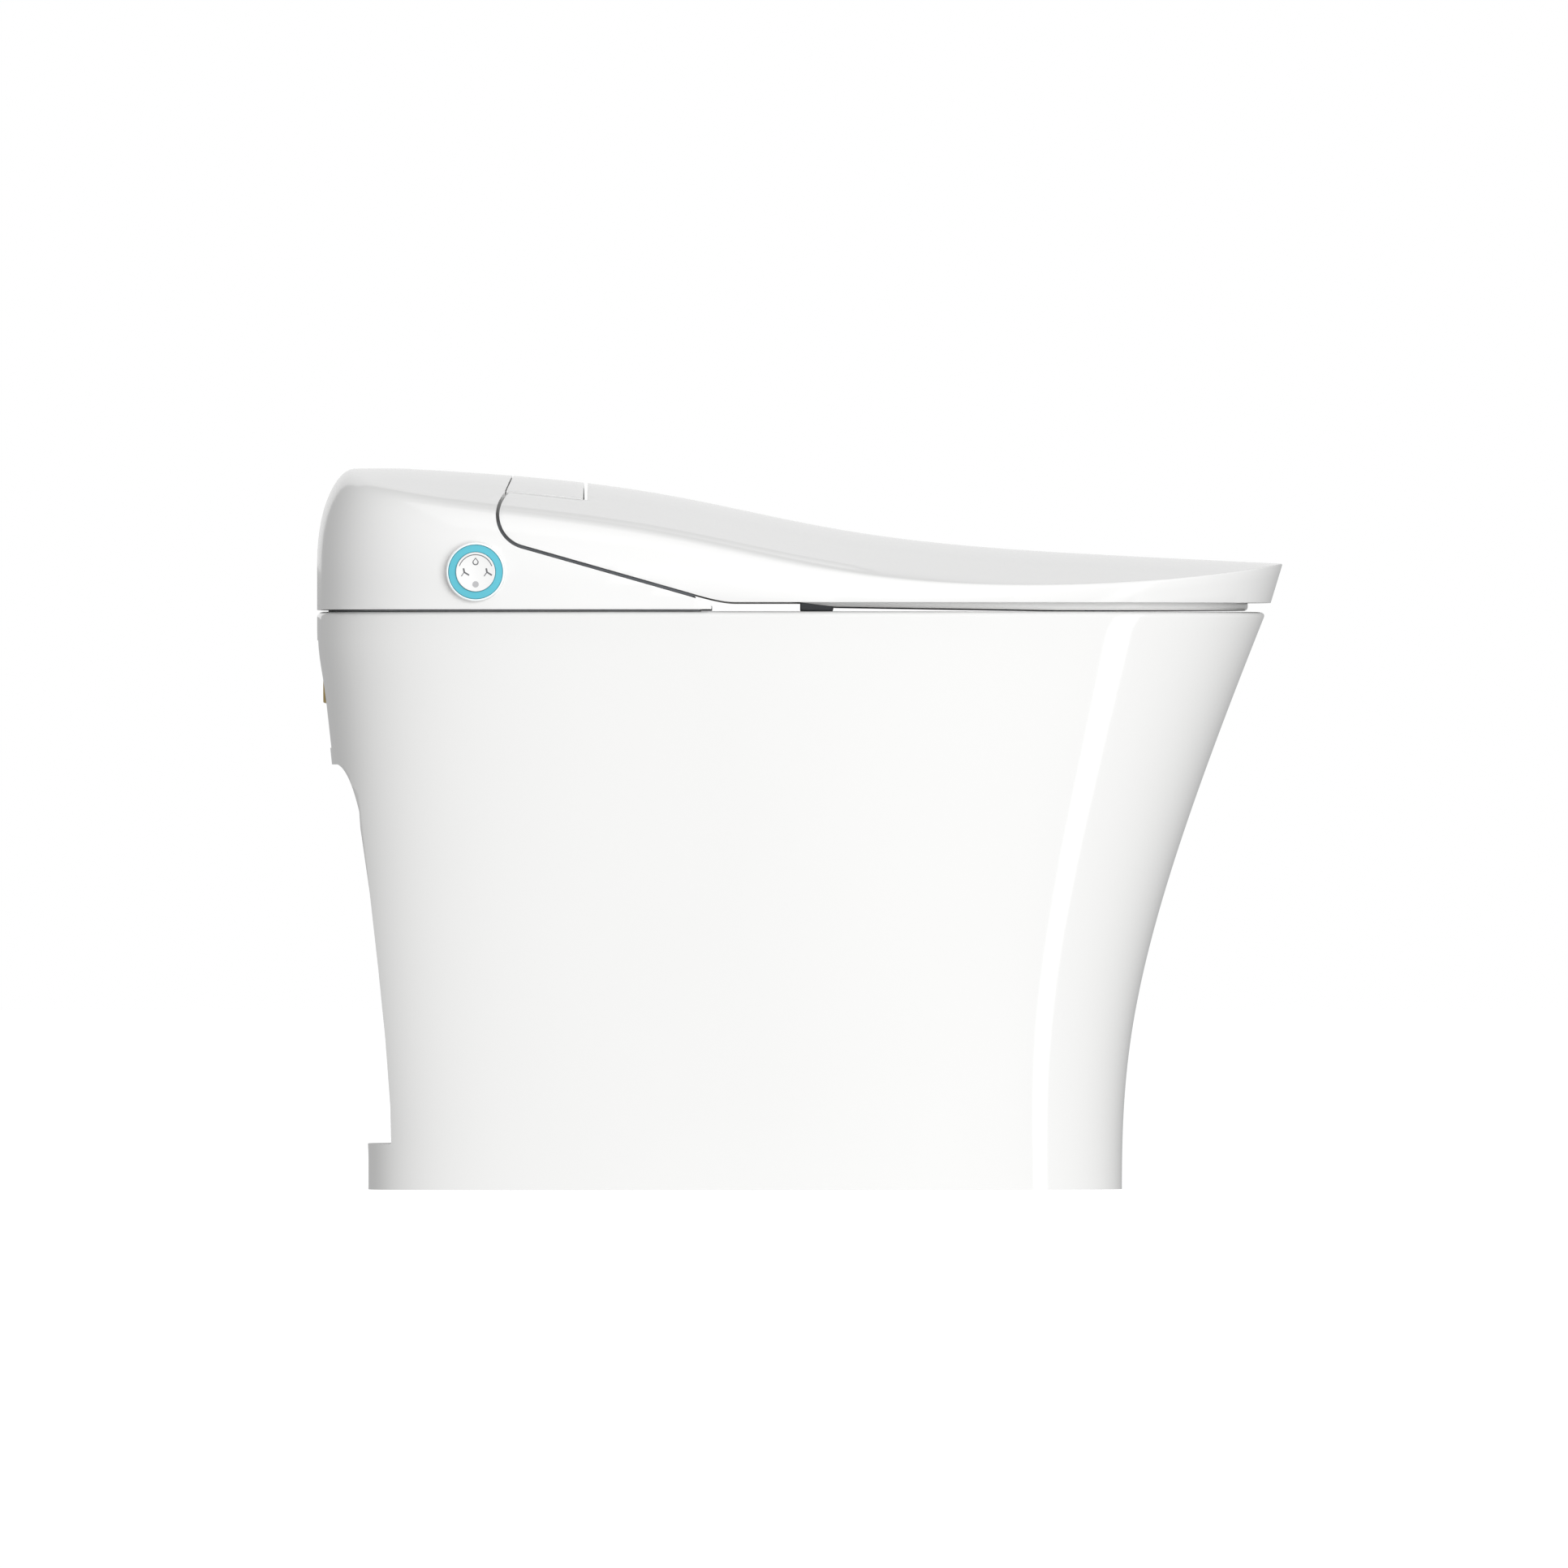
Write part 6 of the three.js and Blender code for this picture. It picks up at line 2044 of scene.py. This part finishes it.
# The deck gasket's grey also paints the shade of the gap line under the cover.
KEPT_FINISHES: dict[str, Finish] = {
    "outlet_seal": RUBBER_AND_SEAM_SHADE, "service_plate": GREY, "flush_tank": GREY, "flush_tank_lid": GREY,
    "flush_pump": DARK, "flush_hose": RUBBER_AND_SEAM_SHADE, "deck_gasket": GASKET_AND_GAP_SHADE, "base_plate": GREY,
    "floor_bracket_left": STEEL, "floor_bracket_right": STEEL, "mounting_bolt_left": STEEL,
    "mounting_bolt_right": STEEL, "hinge_bracket_left": STEEL, "hinge_bracket_right": STEEL,
    "hinge_pin_left": STEEL, "hinge_pin_right": STEEL, "seat_damper": DARK, "lid_damper": DARK,
    "nozzle_guide": GREY, "rear_pinion": SATIN, "front_pinion": SATIN, "rear_motor": STEEL,
    "front_motor": STEEL, "instant_heater": GREY, "dryer_housing": DARK, "dryer_fan": SATIN,
    "dryer_duct": DARK, "solenoid_valve": BRASS, "deodoriser": GREY, "control_board": BOARD,
    "power_board": BOARD, "dial_stem": STEEL, "dial_encoder": DARK, "seat_heater": FOIL,
}


def dress_kept_nodes() -> None:
    """Give every CAD node that stays its finish."""
    for name, finish in KEPT_FINISHES.items():
        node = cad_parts[name]
        for slot in node.material_slots:
            slot.material = finish.material()
        log.info("%s: kept, %s", name, finish.name)


# ---------------------------------------------------------------------------------------------
# Studio
# ---------------------------------------------------------------------------------------------


@dataclass(frozen=True)
class Softbox:
    """A soft light: where it hangs and what it faces, its sides in metres and its watts."""

    name: str
    place: Place
    target: Place
    width: float
    height: float
    power: float
    reflected: bool = True

    def hang(self) -> None:
        """Add the light to the scene."""
        data = bpy.data.lights.new(self.name, "AREA")
        data.shape = "RECTANGLE"
        data.size = self.width
        data.size_y = self.height
        data.energy = self.power
        light = bpy.data.objects.new(self.name, data)
        light.location = self.place
        facing = Vector(self.target) - Vector(self.place)
        light.rotation_euler = facing.to_track_quat("-Z", "Y").to_euler()
        light.visible_camera = False
        light.visible_glossy = self.reflected
        bpy.context.scene.collection.objects.link(light)


SOFTBOXES = (
    Softbox("camera_side_softbox", (-3.5, -0.8, 0.7), (0, -0.05, 0.3), 2.2, 2.2, 90, reflected=False),
    Softbox("front_strip", (-2.2, -3.2, -0.6), (0, -0.2, 0.1), 0.5, 5.0, 11),
    Softbox("overhead_softbox", (-0.6, 0, 3.0), (0, 0, 0.4), 2.4, 2.4, 14),
    Softbox("far_side_softbox", (3.6, 0.4, 1.6), (0, 0, 0.3), 2.4, 2.4, 8),
)


@dataclass
class Studio:
    """Camera, floor and surroundings, with the softboxes hung."""

    datum: Datum
    lens: float = 1200.0
    sensor: float = 36.0
    distance: float = 37920.0
    aim_y: float = 11.5
    aim_z: float = 293.8
    floor_size: float = 60.0
    floor_color: Color = (0.4, 0.4, 0.4)
    floor_glow: float = 0.86
    world_strength: float = 0.46

    def build(self) -> None:
        """Set up the studio."""
        self._camera()
        self._floor()
        self._world()
        for softbox in SOFTBOXES:
            softbox.hang()
        settings = bpy.context.scene.view_settings
        settings.view_transform = "Standard"
        settings.look = "None"

    def _camera(self) -> None:
        """Level camera on the user's right side."""
        data = bpy.data.cameras.new("camera")
        data.lens = self.lens
        data.sensor_width = self.sensor
        data.clip_end = 200
        camera = bpy.data.objects.new("camera", data)
        camera.location = Vector((-self.distance, self.aim_y, self.aim_z)) * MM
        camera.rotation_euler = (math.pi / 2, 0, -math.pi / 2)
        bpy.context.scene.collection.objects.link(camera)
        bpy.context.scene.camera = camera

    def _floor(self) -> None:
        """Plain pale floor that is faintly lit from below."""
        bm = bmesh.new()
        bmesh.ops.create_grid(bm, x_segments=4, y_segments=4, size=self.floor_size / 2)
        mesh = bpy.data.meshes.new("studio_floor")
        bm.to_mesh(mesh)
        bm.free()
        nodes = NodeTree("pale_floor")
        tone = nodes.noise(400)
        color = nodes.mix(tone, shade(self.floor_color, 0.985), self.floor_color)
        nodes.feed(nodes.shader.inputs["Base Color"], color)
        nodes.feed(nodes.shader.inputs["Roughness"], 0.9)
        nodes.feed(nodes.shader.inputs["Specular IOR Level"], 0.0)
        nodes.feed(nodes.shader.inputs["Emission Color"], (1, 1, 1, 1))
        nodes.feed(nodes.shader.inputs["Emission Strength"], self.floor_glow)
        mesh.materials.append(nodes.material)
        floor = bpy.data.objects.new("studio_floor", mesh)
        floor.visible_diffuse = False
        floor.visible_glossy = False
        floor.visible_shadow = False
        bpy.context.scene.collection.objects.link(floor)

    def _world(self) -> None:
        """White surroundings that light the object less than they show."""
        world = bpy.data.worlds.new("surroundings")
        world.use_nodes = True
        bpy.context.scene.world = world
        tree = world.node_tree
        shown = tree.nodes["Background"]
        shown.inputs["Color"].default_value = (1, 1, 1, 1)
        shown.inputs["Strength"].default_value = 1.0
        lighting = tree.nodes.new("ShaderNodeBackground")
        lighting.inputs["Strength"].default_value = self.world_strength
        lighting.inputs["Color"].default_value = (1, 1, 1, 1)
        path = tree.nodes.new("ShaderNodeLightPath")
        mix = tree.nodes.new("ShaderNodeMixShader")
        tree.links.new(path.outputs["Is Camera Ray"], mix.inputs[0])
        tree.links.new(lighting.outputs[0], mix.inputs[1])
        tree.links.new(shown.outputs[0], mix.inputs[2])
        tree.links.new(mix.outputs[0], tree.nodes["World Output"].inputs["Surface"])


# ---------------------------------------------------------------------------------------------
# Assembly
# ---------------------------------------------------------------------------------------------


def main() -> None:
    """Build every sub-assembly in order."""
    logging.basicConfig(level=logging.INFO, format="%(message)s")
    datum = Datum()
    form = BodyForm(datum)
    seam = Seam(datum)
    housing = Housing(datum, form, seam)
    Studio(datum).build()
    Pan(datum, form).build()
    housing.build()
    Lid(datum, form, seam, housing).build()
    SeatRing(datum).build()
    Dial(datum).build()
    Nozzles(datum).build()
    RearFittings(datum).build()
    dress_kept_nodes()


if __name__ == "__main__":
    main()
